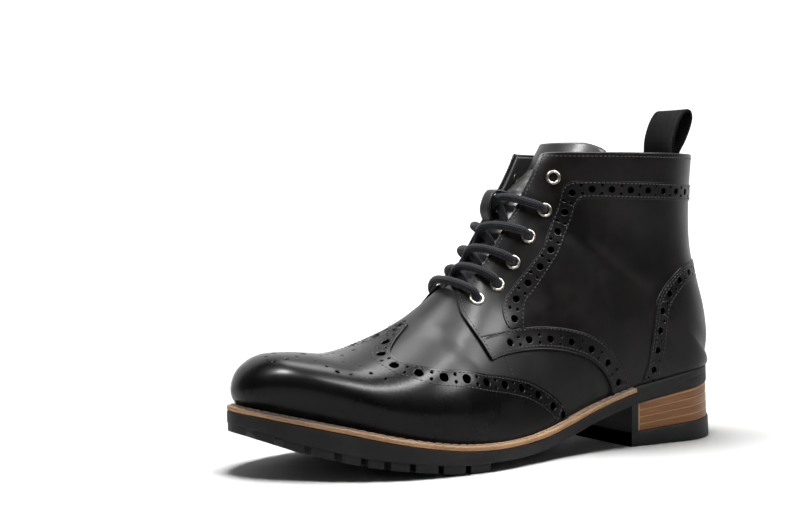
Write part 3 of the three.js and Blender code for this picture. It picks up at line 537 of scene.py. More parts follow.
def around(spot, radius, count):
    """Small ring on the leather about a spot."""
    ring = np.repeat(np.asarray(spot, float)[None, :], count, 0)
    along, over = slopes(ring[:, 0], ring[:, 1], COVER)
    first = unit(along)
    second = np.cross(unit(np.cross(over, along)), first)
    angle = np.arange(count) * 2 * math.pi / count
    turned = np.cos(angle)[:, None] * first + np.sin(angle)[:, None] * second
    return settle(ring, spots(ring) + radius * turned)


def level_line(places, y, side):
    """Line at a fixed distance from the middle plane, near the ridge."""
    result = []
    steps = np.linspace(0.01, 1.2, 240)
    for place in places:
        points = layered(np.full(len(steps), place), steps * side, COVER)
        result.append((place, side * np.interp(y, np.abs(points[:, 1]), steps)))
    return np.array(result)


# Making meshes, from the frame's origin under the middle of the solids' box
def sideways_middle():
    share = np.linspace(0, 1, 400)
    lateral = sole_middle(share) + sole_half(share) * end_round(share)
    medial = sole_middle(share) - sole_half(share) * end_round(share)
    return (lateral.max() + medial.min()) / 2


ORIGIN = np.array([SOLE_LENGTH / 2, sideways_middle(), 0.0])


def metres(points):
    return (np.asarray(points, float) - ORIGIN) / 1000


def add(name, mesh, materials, *nodes):
    piece = bpy.data.objects.new(name, mesh)
    bpy.context.scene.collection.objects.link(piece)
    for material in materials:
        mesh.materials.append(material)
    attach(piece, "root")
    if nodes:
        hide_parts(*nodes)
    return piece


def mesh_of(bm, name):
    mesh = bpy.data.meshes.new(name)
    bm.to_mesh(mesh)
    bm.free()
    return mesh


def in_loops(points, loops):
    """Which flat points lie inside an odd number of the closed loops."""
    inside = np.zeros(len(points), bool)
    x, y = points[:, 0], points[:, 1]
    for loop in loops:
        low, high = loop.min(0), loop.max(0)
        near = np.nonzero((x >= low[0]) & (x <= high[0]) & (y >= low[1]) & (y <= high[1]))[0]
        if not len(near):
            continue
        px, py = x[near][:, None], y[near][:, None]
        x0, y0 = loop[:, 0], loop[:, 1]
        x1, y1 = np.roll(x0, -1), np.roll(y0, -1)
        crosses = (y0 > py) != (y1 > py)
        with np.errstate(divide="ignore", invalid="ignore"):
            at = (x1 - x0) * (py - y0) / (y1 - y0) + x0
        inside[near] ^= (np.sum(crosses & (px < at), axis=1) % 2).astype(bool)
    return inside


def punch_shade_discs(name, punches, height):
    """Near-black rough discs at the bottom of each punched hole: painted shade for the hole's depth."""
    bm = bmesh.new()
    for loop in punches:
        rings = []
        for level in (height, height - FLOOR_THICKNESS):
            line, _ = skin(loop[:, 0], loop[:, 1], level)
            rings.append([bm.verts.new(co) for co in metres(line)])
        bm.faces.new(rings[0])
        bm.faces.new(rings[1])
        for k in range(len(loop)):
            bm.faces.new((rings[0][k], rings[1][k], rings[1][k - 1], rings[0][k - 1]))
    bmesh.ops.recalc_face_normals(bm, faces=bm.faces)
    return add(name, mesh_of(bm, name), [PUNCH_SHADE])


def rounded_normals(mesh, spot, inside, kind, out):
    """Corner normals of a cut sheet: the last's on both faces, turned outwards at the cut edge."""
    faces = len(mesh.polygons)
    flat = np.zeros(faces * 3)
    mesh.polygons.foreach_get("normal", flat)
    flat = flat.reshape(-1, 3)
    corners = np.zeros(len(mesh.loops), int)
    mesh.loops.foreach_get("vertex_index", corners)
    sizes = np.zeros(faces, int)
    mesh.polygons.foreach_get("loop_total", sizes)
    owner = np.repeat(np.arange(faces), sizes)
    wall = kind[owner] == 0
    sideways = np.zeros((len(out), 3))
    np.add.at(sideways, spot[corners[wall]], flat[owner[wall]])
    edged = np.linalg.norm(sideways, axis=1) > 0
    turned = unit(sideways)
    rounded = np.where(edged[:, None], unit(out + EDGE_ROUNDING * turned), out)
    index = spot[corners]
    result = np.where((kind[owner] == 1)[:, None], rounded[index], -out[index])
    sidewall = np.where((inside[corners] == 0)[:, None], rounded[index], turned[index])
    return np.where(wall[:, None], sidewall, result)


# Chart scale for a row and across; a cut edge's rim: width, drop, turn of its normals, least hole, gap
CHART = np.array([10.0, 56.0])
RIM = 0.35
RIM_DROP = 0.22
EDGE_ROUNDING = 0.6
LEAST_RIMMED = 0.5
RIM_GAP = 0.1
# Thickness of the near-black discs of painted shade in the punched holes
FLOOR_THICKNESS = 0.05


def cut_sheet(name, edge, punches, low, high, materials, nodes, spacing, turned=False):
    """Leather cut along an edge, punched, laid on the last and given its thickness.

    The cut's places are charted flat, filled, then laid on the surface. `turned` swaps the ridge
    for the back seam as the chart's middle."""
    def chart(line):
        flat = np.array(line, float) * CHART
        if turned:
            side = np.where(flat[:, 1] < 0, -1, 1)
            opened = 2.0 * np.maximum(0, SEAT_ROW - np.asarray(line)[:, 0])
            flat[:, 1] = side * (2 * CHART[1] - np.abs(flat[:, 1]) + opened)
        return flat

    def unchart(points):
        line = np.array(points, float) / CHART
        if turned:
            side = np.where(line[:, 1] < 0, -1, 1)
            opened = 2.0 / CHART[1] * np.maximum(0, SEAT_ROW - line[:, 0])
            line[:, 1] = side * np.clip(2 + opened - np.abs(line[:, 1]), 0, 2)
        return line

    loops = [chart(edge)] + [chart(p) for p in punches]
    points, lines, kinds = [], [], []
    for loop in loops:
        start = len(points)
        points += loop.tolist()
        kinds += [1] * len(loop)
        lines += [(start + k, start + (k + 1) % len(loop)) for k in range(len(loop))]
    rims = []
    for loop in loops[1:]:
        centre = loop.mean(0)
        size = np.linalg.norm(spots(unchart(loop[:1])) - spots(unchart(centre[None])))
        if size > LEAST_RIMMED:
            rims.append(centre + (loop - centre) * (size + RIM) / size)
    looped = np.vstack([edge[-1:], edge, edge[:1]])
    sides = [chart(shifted(looped, sign * RIM)[1:-1]) for sign in (1, -1)]
    rims.append(max(sides, key=lambda ring: in_loops(ring, loops[:1]).sum()))
    low_corner, high_corner = loops[0].min(0), loops[0].max(0)
    columns = np.arange(low_corner[0], high_corner[0], spacing)
    rows = np.arange(low_corner[1], high_corner[1], spacing * 0.9)
    gx, gy = np.meshgrid(columns, rows)
    gx = gx + (np.arange(len(rows)) % 2)[:, None] * spacing / 2
    grid = np.column_stack([gx.ravel(), gy.ravel()])
    for field, gap in ((np.vstack(rims), RIM_GAP), (grid, 0.75 * spacing)):
        field = field[in_loops(field, loops[:1]) & ~in_loops(field, loops[1:])]
        tree = kdtree.KDTree(len(points))
        for index, (x, y) in enumerate(points):
            tree.insert((x, y, 0), index)
        tree.balance()
        field = [p for p in field.tolist() if tree.find((p[0], p[1], 0))[2] > gap]
        points += field
        kinds += [0] * len(field)
    made = delaunay_2d_cdt([Vector(p) for p in points], lines, [], 0, 1e-4)
    flat = np.array([tuple(v) for v in made[0]])
    origins = made[3]
    faces = np.array(made[2])
    middles = flat[faces].mean(1)
    faces = faces[in_loops(middles, loops[:1]) & ~in_loops(middles, loops[1:])]
    at_edge = np.array([any(kinds[k] for k in group) for group in origins])
    line = unchart(flat)
    top, out = skin(line[:, 0], line[:, 1], np.where(at_edge, high - RIM_DROP, high))
    bottom, _ = skin(line[:, 0], line[:, 1], low)
    bm = bmesh.new()
    layer = bm.verts.layers.int.new("spot")
    depths = bm.verts.layers.int.new("inner")
    tags = bm.faces.layers.int.new("front")
    verts = []
    for index, co in enumerate(metres(top)):
        vert = bm.verts.new(co)
        vert[layer] = index
        verts.append(vert)
    for a, b, c in faces:
        try:
            bm.faces.new((verts[a], verts[b], verts[c]))
        except ValueError:
            continue
    bmesh.ops.delete(bm, geom=[v for v in bm.verts if not v.link_faces], context="VERTS")
    flips = [f for f in bm.faces if f.normal.dot(Vector(out[f.verts[0][layer]])) < 0]
    bmesh.ops.reverse_faces(bm, faces=flips)
    front = list(bm.faces)
    extruded = bmesh.ops.extrude_face_region(bm, geom=front, use_keep_orig=True)
    inner = metres(bottom)
    for item in extruded["geom"]:
        if isinstance(item, bmesh.types.BMVert):
            item.co = inner[item[layer]]
            item[depths] = 1
    for face in extruded["geom"]:
        if isinstance(face, bmesh.types.BMFace):
            face.material_index = len(materials) - 1
    backs = {f for f in extruded["geom"] if isinstance(f, bmesh.types.BMFace)}
    fronts = set(front)
    bmesh.ops.reverse_faces(bm, faces=list(backs))
    bmesh.ops.recalc_face_normals(bm, faces=bm.faces)
    for face in bm.faces:
        face[tags] = 1 if face in fronts else 2 if face in backs else 0
        face.smooth = True
    spot = np.array([v[layer] for v in bm.verts])
    inside = np.array([v[depths] for v in bm.verts])
    kind = np.array([f[tags] for f in bm.faces])
    mesh = mesh_of(bm, name)
    mesh.normals_split_custom_set(rounded_normals(mesh, spot, inside, kind, out).tolist())
    return add(name, mesh, materials, *nodes)


def formed(name, segments, place, materials, nodes, closed=False, uv=(1, 1), thick=0.0):
    """A grid laid in space by a function of two shares that gives millimetres, with a wall inwards."""
    bm = bmesh.new()
    bmesh.ops.create_grid(bm, x_segments=segments[0], y_segments=segments[1], size=1, calc_uvs=False)
    bm.verts.ensure_lookup_table()
    flat = np.array([tuple(v.co) for v in bm.verts])[:, :2] / 2 + 0.5
    placed = metres(place(flat[:, 0], flat[:, 1]))
    layer = bm.loops.layers.uv.new("UVMap")
    for face in bm.faces:
        face.smooth = True
        for loop in face.loops:
            a, b = flat[loop.vert.index]
            loop[layer].uv = (a * uv[0], b * uv[1])
    for vert, co in zip(bm.verts, placed):
        vert.co = co
    if closed:
        bmesh.ops.remove_doubles(bm, verts=bm.verts, dist=1e-6)
    bmesh.ops.recalc_face_normals(bm, faces=bm.faces)
    if thick:
        bmesh.ops.solidify(bm, geom=list(bm.faces), thickness=thick / 1000)
        bmesh.ops.recalc_face_normals(bm, faces=bm.faces)
    return add(name, mesh_of(bm, name), materials, *nodes)


def frames_along(path):
    """Even turning frames along a path of points."""
    ahead = unit(np.gradient(path, axis=0))
    side = np.zeros_like(path)
    seed = np.array([0.0, 0.0, 1.0])
    side[0] = np.cross(ahead[0], seed)
    side[0] /= np.linalg.norm(side[0])
    for k in range(1, len(path)):
        turned = side[k - 1] - ahead[k] * np.dot(side[k - 1], ahead[k])
        side[k] = turned / np.linalg.norm(turned)
    return ahead, side, np.cross(ahead, side)


def through(points, step):
    """Smooth path in space through points, at even steps."""
    points = np.asarray(points, float)
    run = run_of(points)
    fine = np.linspace(0, run[-1], 400)
    path = np.column_stack([smooth(run, points[:, k], fine) for k in range(3)])
    run = run_of(path)
    marks = np.linspace(0, run[-1], max(3, int(run[-1] / step) + 1))
    return np.column_stack([np.interp(marks, run, path[:, k]) for k in range(3)])


# A squeezed cord keeps its least thickness for this run from its ends, and grows over this ease
SQUEEZED_END = 5
SQUEEZE_EASE = 4

def tube_into(bm, path, radius, sides, uv_layer, squeezed=1.0):
    """Round cord along a path, with rounded ends, squeezed where it runs through its holes."""
    ahead, side, up = frames_along(path)
    steps = len(path)
    size = np.full(steps, radius)
    run = run_of(path)
    for edge in (run, run[-1] - run):
        freed = np.clip((edge - SQUEEZED_END) / SQUEEZE_EASE, 0, 1)
        size = np.minimum(size, radius * (squeezed + (1 - squeezed) * freed))
        near = np.clip(edge / (0.9 * radius), 0, 1)
        size = np.minimum(size, radius * np.sqrt(np.maximum(0.02, 1 - (1 - near) ** 2)))
    made = bmesh.ops.create_grid(bm, x_segments=steps - 1, y_segments=sides, size=1)
    verts = made["verts"]
    flat = np.array([tuple(v.co) for v in verts])[:, :2] / 2 + 0.5
    row = np.rint(flat[:, 0] * (steps - 1)).astype(int)
    angle = flat[:, 1] * 2 * math.pi
    shares = {v: (run[r] / (2 * math.pi * radius), b) for v, r, b in zip(verts, row, flat[:, 1])}
    points = path[row] + size[row, None] * (
        np.cos(angle)[:, None] * side[row] + np.sin(angle)[:, None] * up[row]
    )
    faces = {f for v in verts for f in v.link_faces}
    for face in faces:
        face.smooth = True
        for loop in face.loops:
            loop[uv_layer].uv = shares[loop.vert]
    for vert, co in zip(verts, metres(points)):
        vert.co = co
    bmesh.ops.remove_doubles(bm, verts=verts, dist=1e-6)


# Materials
class Sum:
    """A socket or a number in a material's arithmetic."""

    def __init__(self, paint, value):
        self.paint, self.value = paint, value

    def _math(self, operation, *others):
        return self.paint.node("ShaderNodeMath", {"operation": operation}, *others)

    def __add__(self, other):
        return self._math("ADD", self, other)

    def __radd__(self, other):
        return self._math("ADD", other, self)

    def __sub__(self, other):
        return self._math("SUBTRACT", self, other)

    def __rsub__(self, other):
        return self._math("SUBTRACT", other, self)

    def __mul__(self, other):
        return self._math("MULTIPLY", self, other)

    def __rmul__(self, other):
        return self._math("MULTIPLY", other, self)

    def __truediv__(self, other):
        return self._math("DIVIDE", self, other)


class Paint:
    """One material being mixed."""

    def __init__(self, name):
        self.material = bpy.data.materials.new(name)
        self.material.use_nodes = True
        self.tree = self.material.node_tree
        self.tree.nodes.clear()
        self.shader = self.tree.nodes.new("ShaderNodeBsdfPrincipled")
        self.output = self.tree.nodes.new("ShaderNodeOutputMaterial")
        self.tree.links.new(self.shader.outputs[0], self.output.inputs["Surface"])
        self.place = self.node("ShaderNodeTexCoord", {}, out="Object")

    def feed(self, socket, value):
        if isinstance(value, Sum):
            self.tree.links.new(value.value, socket)
        else:
            socket.default_value = value

    def node(self, kind, settings, *values, out=0, **named):
        node = self.tree.nodes.new(kind)
        for key, value in settings.items():
            setattr(node, key, value)
        for socket, value in zip(node.inputs, values):
            self.feed(socket, value)
        for key, value in named.items():
            self.feed(node.inputs[key.replace("_", " ")], value)
        return Sum(self, node.outputs[out])

    def part(self, value, axis):
        return self.node("ShaderNodeSeparateXYZ", {}, value, out=axis)

    def own_map(self):
        own = self.node("ShaderNodeUVMap", {"uv_map": "UVMap"})
        return self.part(own, "X"), self.part(own, "Y")

    def noise(self, scale, detail, roughness, stretch=None):
        where = self.place
        if stretch:
            where = self.node("ShaderNodeMapping", {}, where, Scale=stretch)
        return self.node("ShaderNodeTexNoise", {}, Vector=where, Scale=scale, Detail=detail,
                         Roughness=roughness, out="Fac")

    def cells(self, scale):
        return self.node("ShaderNodeTexVoronoi", {}, Vector=self.place, Scale=scale, out="Distance")

    def soften(self, value, low, high):
        settings = {"interpolation_type": "SMOOTHSTEP"}
        return self.node("ShaderNodeMapRange", settings, value, low, high, 0.0, 1.0)

    def blend(self, share, first, second):
        node = self.tree.nodes.new("ShaderNodeMix")
        node.data_type = "RGBA"
        self.feed(node.inputs[0], share)
        for socket, value in ((node.inputs[6], first), (node.inputs[7], second)):
            self.feed(socket, value if isinstance(value, Sum) else (*value, 1.0))
        return Sum(self, node.outputs[2])

    def bump(self, height, distance, strength=1.0, before=None):
        named = {"Normal": before} if before else {}
        return self.node("ShaderNodeBump", {}, Height=height, Distance=distance, Strength=strength, **named)

    def finish(self, **named):
        for key, value in named.items():
            self.feed(self.shader.inputs[key.replace("_", " ")], value)
        return self.material


def polished_leather(name, dark, light, rough, coat, shine, grain=0.00003, wave=0.0004):
    """Smooth finished calf: faint grain, a slow unevenness in the polish, warm where worn."""
    paint = Paint(name)
    mottle = paint.soften(paint.noise(38, 4, 0.6), 0.35, 0.7)
    pores = paint.cells(2300)
    grains = paint.noise(1500, 2, 0.6)
    slow = paint.noise(24, 2, 0.5)
    fine = paint.noise(210, 3, 0.55)
    height = grains * 0.6 + pores * 0.4
    waved = paint.bump(slow, wave, 0.5)
    softened = paint.bump(fine, wave * 0.05, 0.5, waved)
    grained = paint.bump(height, grain, 0.8, softened)
    return paint.finish(
        Base_Color=paint.blend(mottle, dark, light),
        Roughness=rough + 0.1 * mottle + 0.08 * (fine - 0.5),
        Normal=grained,
        Coat_Weight=coat,
        Coat_Roughness=0.2,
        Specular_IOR_Level=shine,
    )


def plain_leather(name, colour, rough, grain=900, shine=0.3):
    """Unpolished leather: lining, board and edges."""
    paint = Paint(name)
    spread = paint.noise(60, 4, 0.6)
    deep = tuple(c * 0.65 for c in colour)
    height = paint.cells(grain) * 0.6 + paint.noise(grain * 0.5, 3, 0.6) * 0.5
    return paint.finish(
        Base_Color=paint.blend(paint.soften(spread, 0.3, 0.7), deep, colour),
        Roughness=rough + 0.1 * (spread - 0.5),
        Normal=paint.bump(height, 0.00006, 0.8),
        Specular_IOR_Level=shine,
    )


def stacked_heel(name):
    """Stacked lifts: burnished brown layers with paler glue lines between and at the front edge."""
    paint = Paint(name)
    up, along = paint.part(paint.place, "Z"), paint.part(paint.place, "X")
    lift = (up * 4000.0 + along * 238.0 - 14.9) / (10.05 - along * 68.5)
    apart = paint.node("ShaderNodeMath", {"operation": "PINGPONG"}, lift, 0.5)
    streaks = paint.noise(1.0, 3, 0.6, stretch=(9.0, 9.0, 1500.0))
    broad = paint.noise(1.0, 3, 0.5, stretch=(14.0, 14.0, 160.0))
    line = 1.0 - paint.soften(apart, 0.05, 0.12)
    front = paint.soften(along, -0.0802, -0.0793)
    pale = paint.node("ShaderNodeMath", {"operation": "MAXIMUM"}, line, front)
    shade = paint.soften(streaks * 0.5 + broad * 0.6, 0.35, 0.75)
    body = paint.blend(shade, (0.22, 0.078, 0.022), (0.38, 0.155, 0.048))
    return paint.finish(
        Base_Color=paint.blend(pale, body, (0.55, 0.31, 0.11)),
        Roughness=0.42 + 0.15 * streaks,
        Normal=paint.bump(streaks * 0.4 - line * 0.5, 0.00015, 0.6),
        Coat_Weight=0.08,
        Coat_Roughness=0.3,
        Specular_IOR_Level=0.25,
    )


def welt_leather(name):
    """Tan welting: paler and darker patches with fine fibre."""
    paint = Paint(name)
    fibre = paint.noise(1.0, 4, 0.6, stretch=(700.0, 700.0, 1500.0))
    patches = paint.noise(45, 3, 0.6)
    tone = paint.soften(fibre * 0.5 + patches * 0.5, 0.3, 0.72)
    return paint.finish(
        Base_Color=paint.blend(tone, (0.33, 0.17, 0.075), (0.56, 0.345, 0.18)),
        Roughness=0.5 + 0.15 * fibre,
        Normal=paint.bump(fibre, 0.0001, 0.7),
        Specular_IOR_Level=0.3,
    )


def moulded_rubber(name):
    """Matt black rubber with a faint moulding texture and grey scuffing."""
    paint = Paint(name)
    cloud = paint.noise(30, 4, 0.65)
    speck = paint.noise(900, 2, 0.5)
    tone = paint.soften(cloud, 0.4, 0.75)
    return paint.finish(
        Base_Color=paint.blend(tone, (0.011, 0.0105, 0.0105), (0.022, 0.021, 0.021)),
        Roughness=0.55 + 0.15 * tone,
        Specular_IOR_Level=0.18,
        Normal=paint.bump(speck + cloud * 0.8, 0.00008, 0.7),
    )


FULL_TURN = 6.28318


def round_lace(name):
    """Braided cotton cord: crossing strands on the cord's own map, matt charcoal."""
    paint = Paint(name)
    u, v = paint.own_map()
    one = paint.node("ShaderNodeMath", {"operation": "SINE"}, (u * 9.0 + v * 6.0) * FULL_TURN)
    two = paint.node("ShaderNodeMath", {"operation": "SINE"}, (u * 9.0 - v * 6.0) * FULL_TURN)
    weave = one * two
    fuzz = paint.noise(1800, 3, 0.6)
    tone = paint.soften(weave * 0.5 + fuzz, 0.1, 1.1)
    return paint.finish(
        Base_Color=paint.blend(tone, (0.012, 0.012, 0.014), (0.04, 0.041, 0.05)),
        Roughness=0.85,
        Specular_IOR_Level=0.12,
        Normal=paint.bump(weave * 0.6 + fuzz * 0.5, 0.00025, 0.9),
        Sheen_Weight=0.1,
        Sheen_Roughness=0.5,
    )


def twill_webbing(name):
    """Black herringbone tape: diagonal ribs that turn every few millimetres of width."""
    paint = Paint(name)
    u, v = paint.own_map()
    zig = paint.node("ShaderNodeMath", {"operation": "PINGPONG"}, v, 3.1)
    ribs = paint.node("ShaderNodeMath", {"operation": "SINE"}, (u + zig) * 5.2)
    threads = paint.node("ShaderNodeMath", {"operation": "SINE"}, v * 14.0)
    fuzz = paint.noise(1500, 3, 0.6)
    tone = paint.soften(ribs * 0.35 + fuzz * 0.8, 0.0, 1.0)
    return paint.finish(
        Base_Color=paint.blend(tone, (0.004, 0.004, 0.0042), (0.02, 0.02, 0.0205)),
        Roughness=0.95,
        Specular_IOR_Level=0.05,
        Normal=paint.bump(ribs * 0.5 + threads * 0.15 + fuzz * 0.35, 0.0003, 0.9),
        Sheen_Weight=0.04,
        Sheen_Roughness=0.5,
    )


def antique_nickel(name):
    """Plated eyelet metal, bright on the ring and a little browned."""
    paint = Paint(name)
    cloud = paint.noise(700, 3, 0.6)
    return paint.finish(
        Base_Color=paint.blend(paint.soften(cloud, 0.35, 0.7), (0.26, 0.24, 0.2), (0.46, 0.44, 0.39)),
        Roughness=0.22 + 0.16 * cloud,
        Metallic=1.0,
        Normal=paint.bump(cloud, 0.00002, 0.5),
    )


def sewing_thread(name, dark, light, rough):
    """Twisted thread with a fine strand."""
    paint = Paint(name)
    strand = paint.noise(2600, 2, 0.5)
    return paint.finish(
        Base_Color=paint.blend(paint.soften(strand, 0.35, 0.65), dark, light),
        Roughness=rough,
        Normal=paint.bump(strand, 0.0001, 0.7),
    )


CALF = polished_leather(
    "polished_calf", (0.0035, 0.0034, 0.0034), (0.0055, 0.0053, 0.0052), rough=0.25, coat=0.09, shine=0.1
)
VAMP_CALF = polished_leather(
    "vamp_calf", (0.0055, 0.0058, 0.0055), (0.0105, 0.0108, 0.01), rough=0.4, coat=0.05, shine=0.19,
    grain=0.00005
)
SHAFT_CALF = polished_leather(
    "shaft_calf", (0.0052, 0.0041, 0.0037), (0.0115, 0.0088, 0.0079), rough=0.34, coat=0.09, shine=0.16
)
CUT_EDGE = plain_leather("cut_edge", (0.018, 0.017, 0.016), 0.6)
# Near-black rough, unpolished discs in the punched holes: painted shade where the holes are deep
PUNCH_SHADE = plain_leather("punch_painted_shade", (0.001, 0.001, 0.001), 0.9, shine=0.0)
LINING = plain_leather("lining", (0.02, 0.019, 0.018), 0.7)
BOARD = plain_leather("insole_board", (0.05, 0.045, 0.04), 0.75, 600)
TONGUE_CALF = polished_leather(
    "tongue_calf", (0.005, 0.0048, 0.0045), (0.011, 0.0105, 0.01), rough=0.42, coat=0.12, shine=0.25
)
RUBBER = moulded_rubber("black_rubber")
HEEL_TAN = stacked_heel("stacked_heel")
WELT_TAN = welt_leather("tan_welt")
LACE = round_lace("charcoal_lace")
TWILL = twill_webbing("black_twill")
NICKEL = antique_nickel("antique_nickel")
THREAD = sewing_thread("black_thread", (0.006, 0.006, 0.006), (0.018, 0.0175, 0.017), 0.5)
WELT_THREAD = sewing_thread("tan_thread", (0.36, 0.2, 0.09), (0.56, 0.37, 0.2), 0.6)


# Edges of the panels, of the sole's length and the shaft's height
QUARTER_LOW = [
    (0.287, 0.12), (0.298, 0.192), (0.301, 0.218), (0.314, 0.255), (0.334, 0.289), (0.362, 0.32),
    (0.4, 0.341), (0.446, 0.354), (0.495, 0.355), (0.547, 0.348), (0.58, 0.336),
]
QUARTER_FRONT = [(0.58, 0.336), (0.587, 0.369), (0.6, 0.433), (0.605, 0.478), (0.6, 0.516), (0.593, 0.56)]
COUNTER_FRONT = [
    (0.231, 0.12), (0.229, 0.217), (0.218, 0.278), (0.213, 0.33), (0.2075, 0.391), (0.2025, 0.452),
    (0.196, 0.495), (0.182, 0.534), (0.159, 0.576), (0.128, 0.61), (0.066, 0.632),
]
BAND_FRONT = [
    (0.505, 0.424), (0.523, 0.428), (0.5285, 0.475), (0.517, 0.52), (0.477, 0.598), (0.455, 0.643),
    (0.4385, 0.678), (0.423, 0.729), (0.411, 0.774), (0.401, 0.815), (0.3915, 0.871), (0.38, 0.897),
    (0.36, 0.904), (0.25, 0.902), (0.07, 0.896),
]
BAND_BACK = [
    (0.505, 0.424), (0.488, 0.422), (0.488, 0.445), (0.478, 0.505), (0.46, 0.539), (0.4385, 0.587),
    (0.425, 0.617), (0.404, 0.667), (0.3885, 0.718), (0.375, 0.768), (0.361, 0.838), (0.345, 0.846),
    (0.25, 0.843), (0.07, 0.839),
]
WING_EDGE = [
    (0.4, -0.19), (0.407, -0.094), (0.427, -0.029), (0.457, 0.024), (0.498, 0.066), (0.539, 0.076),
    (0.608, 0.081), (0.657, 0.103), (0.691, 0.123), (0.715, 0.158), (0.748, 0.257), (0.753, 0.368),
    (0.729, 0.5), (0.679, 0.671),
]
LEATHER_STEP = 1.2
TOE_PLACE = 0.03
THROAT_START = 10.62


def shares(points, height=SHAFT_HEIGHT):
    return [(x * SOLE_LENGTH, z * height) for x, z in points]


def seam_place(z):
    """Place on the back seam at a height."""
    places = np.linspace(SEAT_ROW, LAST_ROW, 121)
    return np.interp(z, layered(places, np.full(121, 2.0), COVER)[:, 2], places)


def side_line(points, side, view="side"):
    flat = curve_through(shares(points, BALL_WIDTH if view == "slant" else SHAFT_HEIGHT))
    return walk(find(flat, side, view), LEATHER_STEP)


def straight(start, end, count):
    return np.column_stack([np.linspace(a, b, count) for a, b in zip(start, end)])


def joined(*lines):
    """Lines end to end, with doubled places left out."""
    chain = np.vstack(lines)
    points = spots(chain)
    keep = [0]
    for k in range(1, len(chain)):
        if np.linalg.norm(points[k] - points[keep[-1]]) > 0.25 or chain[k, 0] < 0.6:
            keep.append(k)
    return chain[keep]


THROAT_PLACES = np.linspace(THROAT_START, LAST_ROW, 110)
THROAT_EDGE = {side: level_line(THROAT_PLACES, THROAT_WIDTH / 2, side) for side in (1, -1)}


def upper_edge():
    right, left = THROAT_EDGE[1], THROAT_EDGE[-1]
    return joined(
        straight(left[0], right[0], 22), right,
        straight((LAST_ROW, right[-1][1]), (LAST_ROW, 2), 60),
        straight((LAST_ROW, 2), (SEAT_ROW, 2), 70),
        straight((SEAT_ROW, 2), (TOE_PLACE, 2), 200),
        straight((TOE_PLACE, 2), (TOE_PLACE, -2), 90),
        straight((TOE_PLACE, -2), (SEAT_ROW, -2), 200),
        straight((SEAT_ROW, -2), (LAST_ROW, -2), 70),
        straight((LAST_ROW, -2), (LAST_ROW, left[-1][1]), 60),
        left[::-1],
    )[:-1]


def quarter_edge(side):
    low = side_line(QUARTER_LOW, side)
    front = side_line(QUARTER_FRONT, side)
    throat = THROAT_EDGE[side]
    throat = throat[throat[:, 0] > front[-1, 0] + 0.15]
    feather_place = low[0, 0]
    return joined(
        low, front, throat,
        straight((LAST_ROW, throat[-1][1]), (LAST_ROW, 2 * side), 60),
        straight((LAST_ROW, 2 * side), (SEAT_ROW, 2 * side), 70),
        straight((SEAT_ROW, 2 * side), (feather_place, 2 * side), 90),
    )[:-1]


def clipped(line, side):
    """A line's end brought onto the back seam."""
    seam = seam_place(spots(line[-1:])[0][2])
    return np.vstack([line, [[seam, 2 * side]]])


def band_edge(side):
    front = clipped(side_line(BAND_FRONT, side), side)
    back = clipped(side_line(BAND_BACK, side), side)
    return joined(front, back[::-1])[:-1]


def counter_edge():
    right, left = side_line(COUNTER_FRONT, 1), side_line(COUNTER_FRONT, -1)
    top = seam_place(spots(right[-1:])[0][2] + 0.4)
    return joined(
        right, [[top, 2.0]], left[::-1],
        straight((left[0, 0], -2), (SEAT_ROW, -2), 90),
        straight((SEAT_ROW, 2), (right[0, 0], 2), 90),
    )[:-1]


def wing_edge(side):
    return side_line(WING_EDGE, side, "slant")


def cap_edge():
    right, left = wing_edge(1), wing_edge(-1)
    return joined(
        right, left[::-1],
        straight((left[0, 0], -2), (TOE_PLACE, -2), 150),
        straight((TOE_PLACE, -2), (TOE_PLACE, 2), 90),
        straight((TOE_PLACE, 2), (right[0, 0], 2), 150),
    )[:-1]


# Heights of the trims' faces over the base wall: skived thinner than the solids that carry them
BAND_FACE = COVER + 0.55
COUNTER_FACE = COVER + 0.7

# Punches: one row along a line, large holes with small pairs between
LARGE_PUNCH = 2.5
SMALL_PUNCH = 0.92
BAND_POINTS = 160
# Heights of the painted-shade discs at the holes' bottoms, just over the base wall and just over the panels
LOW_FLOOR = 0.12
HIGH_FLOOR = COVER + 0.1


def punched_row(line, pitch, apart, start=4.0, end=4.0, large=LARGE_PUNCH):
    large_spots = walk(line, pitch, start=start, end=end)
    doubled = walk(line, count=2 * len(large_spots) - 1, start=start, end=end)
    above, below = shifted(doubled, apart), shifted(doubled, -apart)
    holes = [around(spot, large, 18) for spot in large_spots]
    for k in range(1, len(doubled), 2):
        holes += [around(above[k], SMALL_PUNCH, 9), around(below[k], SMALL_PUNCH, 9)]
    return holes


# Toe figure: distance along the sole, distance aside of the wing's middle line, radius
MEDALLION = [
    (290.5, 0, 0.9), (288.5, 4.6, 0.9), (282.5, 7.0, 1.2), (276.0, 5.4, 0.9), (269.5, 0, 1.6),
    (262.0, 5.2, 0.9), (256.0, 0, 1.2), (249.5, 4.8, 0.9), (240.0, 0, 1.0), (270.0, 14.0, 0.8),
    (267.0, 20.4, 1.0), (263.5, 25.5, 1.3), (255.0, 16.2, 0.9), (247.0, 30.0, 1.0), (241.5, 35.3, 1.0),
    (257.5, 28.5, 0.8), (249.0, 22.5, 0.8),
]


def top_spot(x, y):
    """Place of a point seen from above, on whichever side of the ridge it lies."""
    best = None
    for side in (1, -1):
        line = find([(x, y)], side, "top")
        miss = np.hypot(*(spots(line)[0, :2] - (x, y)))
        if best is None or miss < best[0]:
            best = (miss, line[0])
    return best[1]


STITCHES = {}


def stitch_row(line, offset, kind="black", length=1.7, gap=0.75, start=0.8, end=0.8):
    """Rest the stitches of a row along a line, at a height over the base wall."""
    marks = walk(line, length + gap, start=start, end=end)
    points, out = skin(marks[:, 0], marks[:, 1], offset)
    STITCHES.setdefault(kind, []).append((points, out, length))


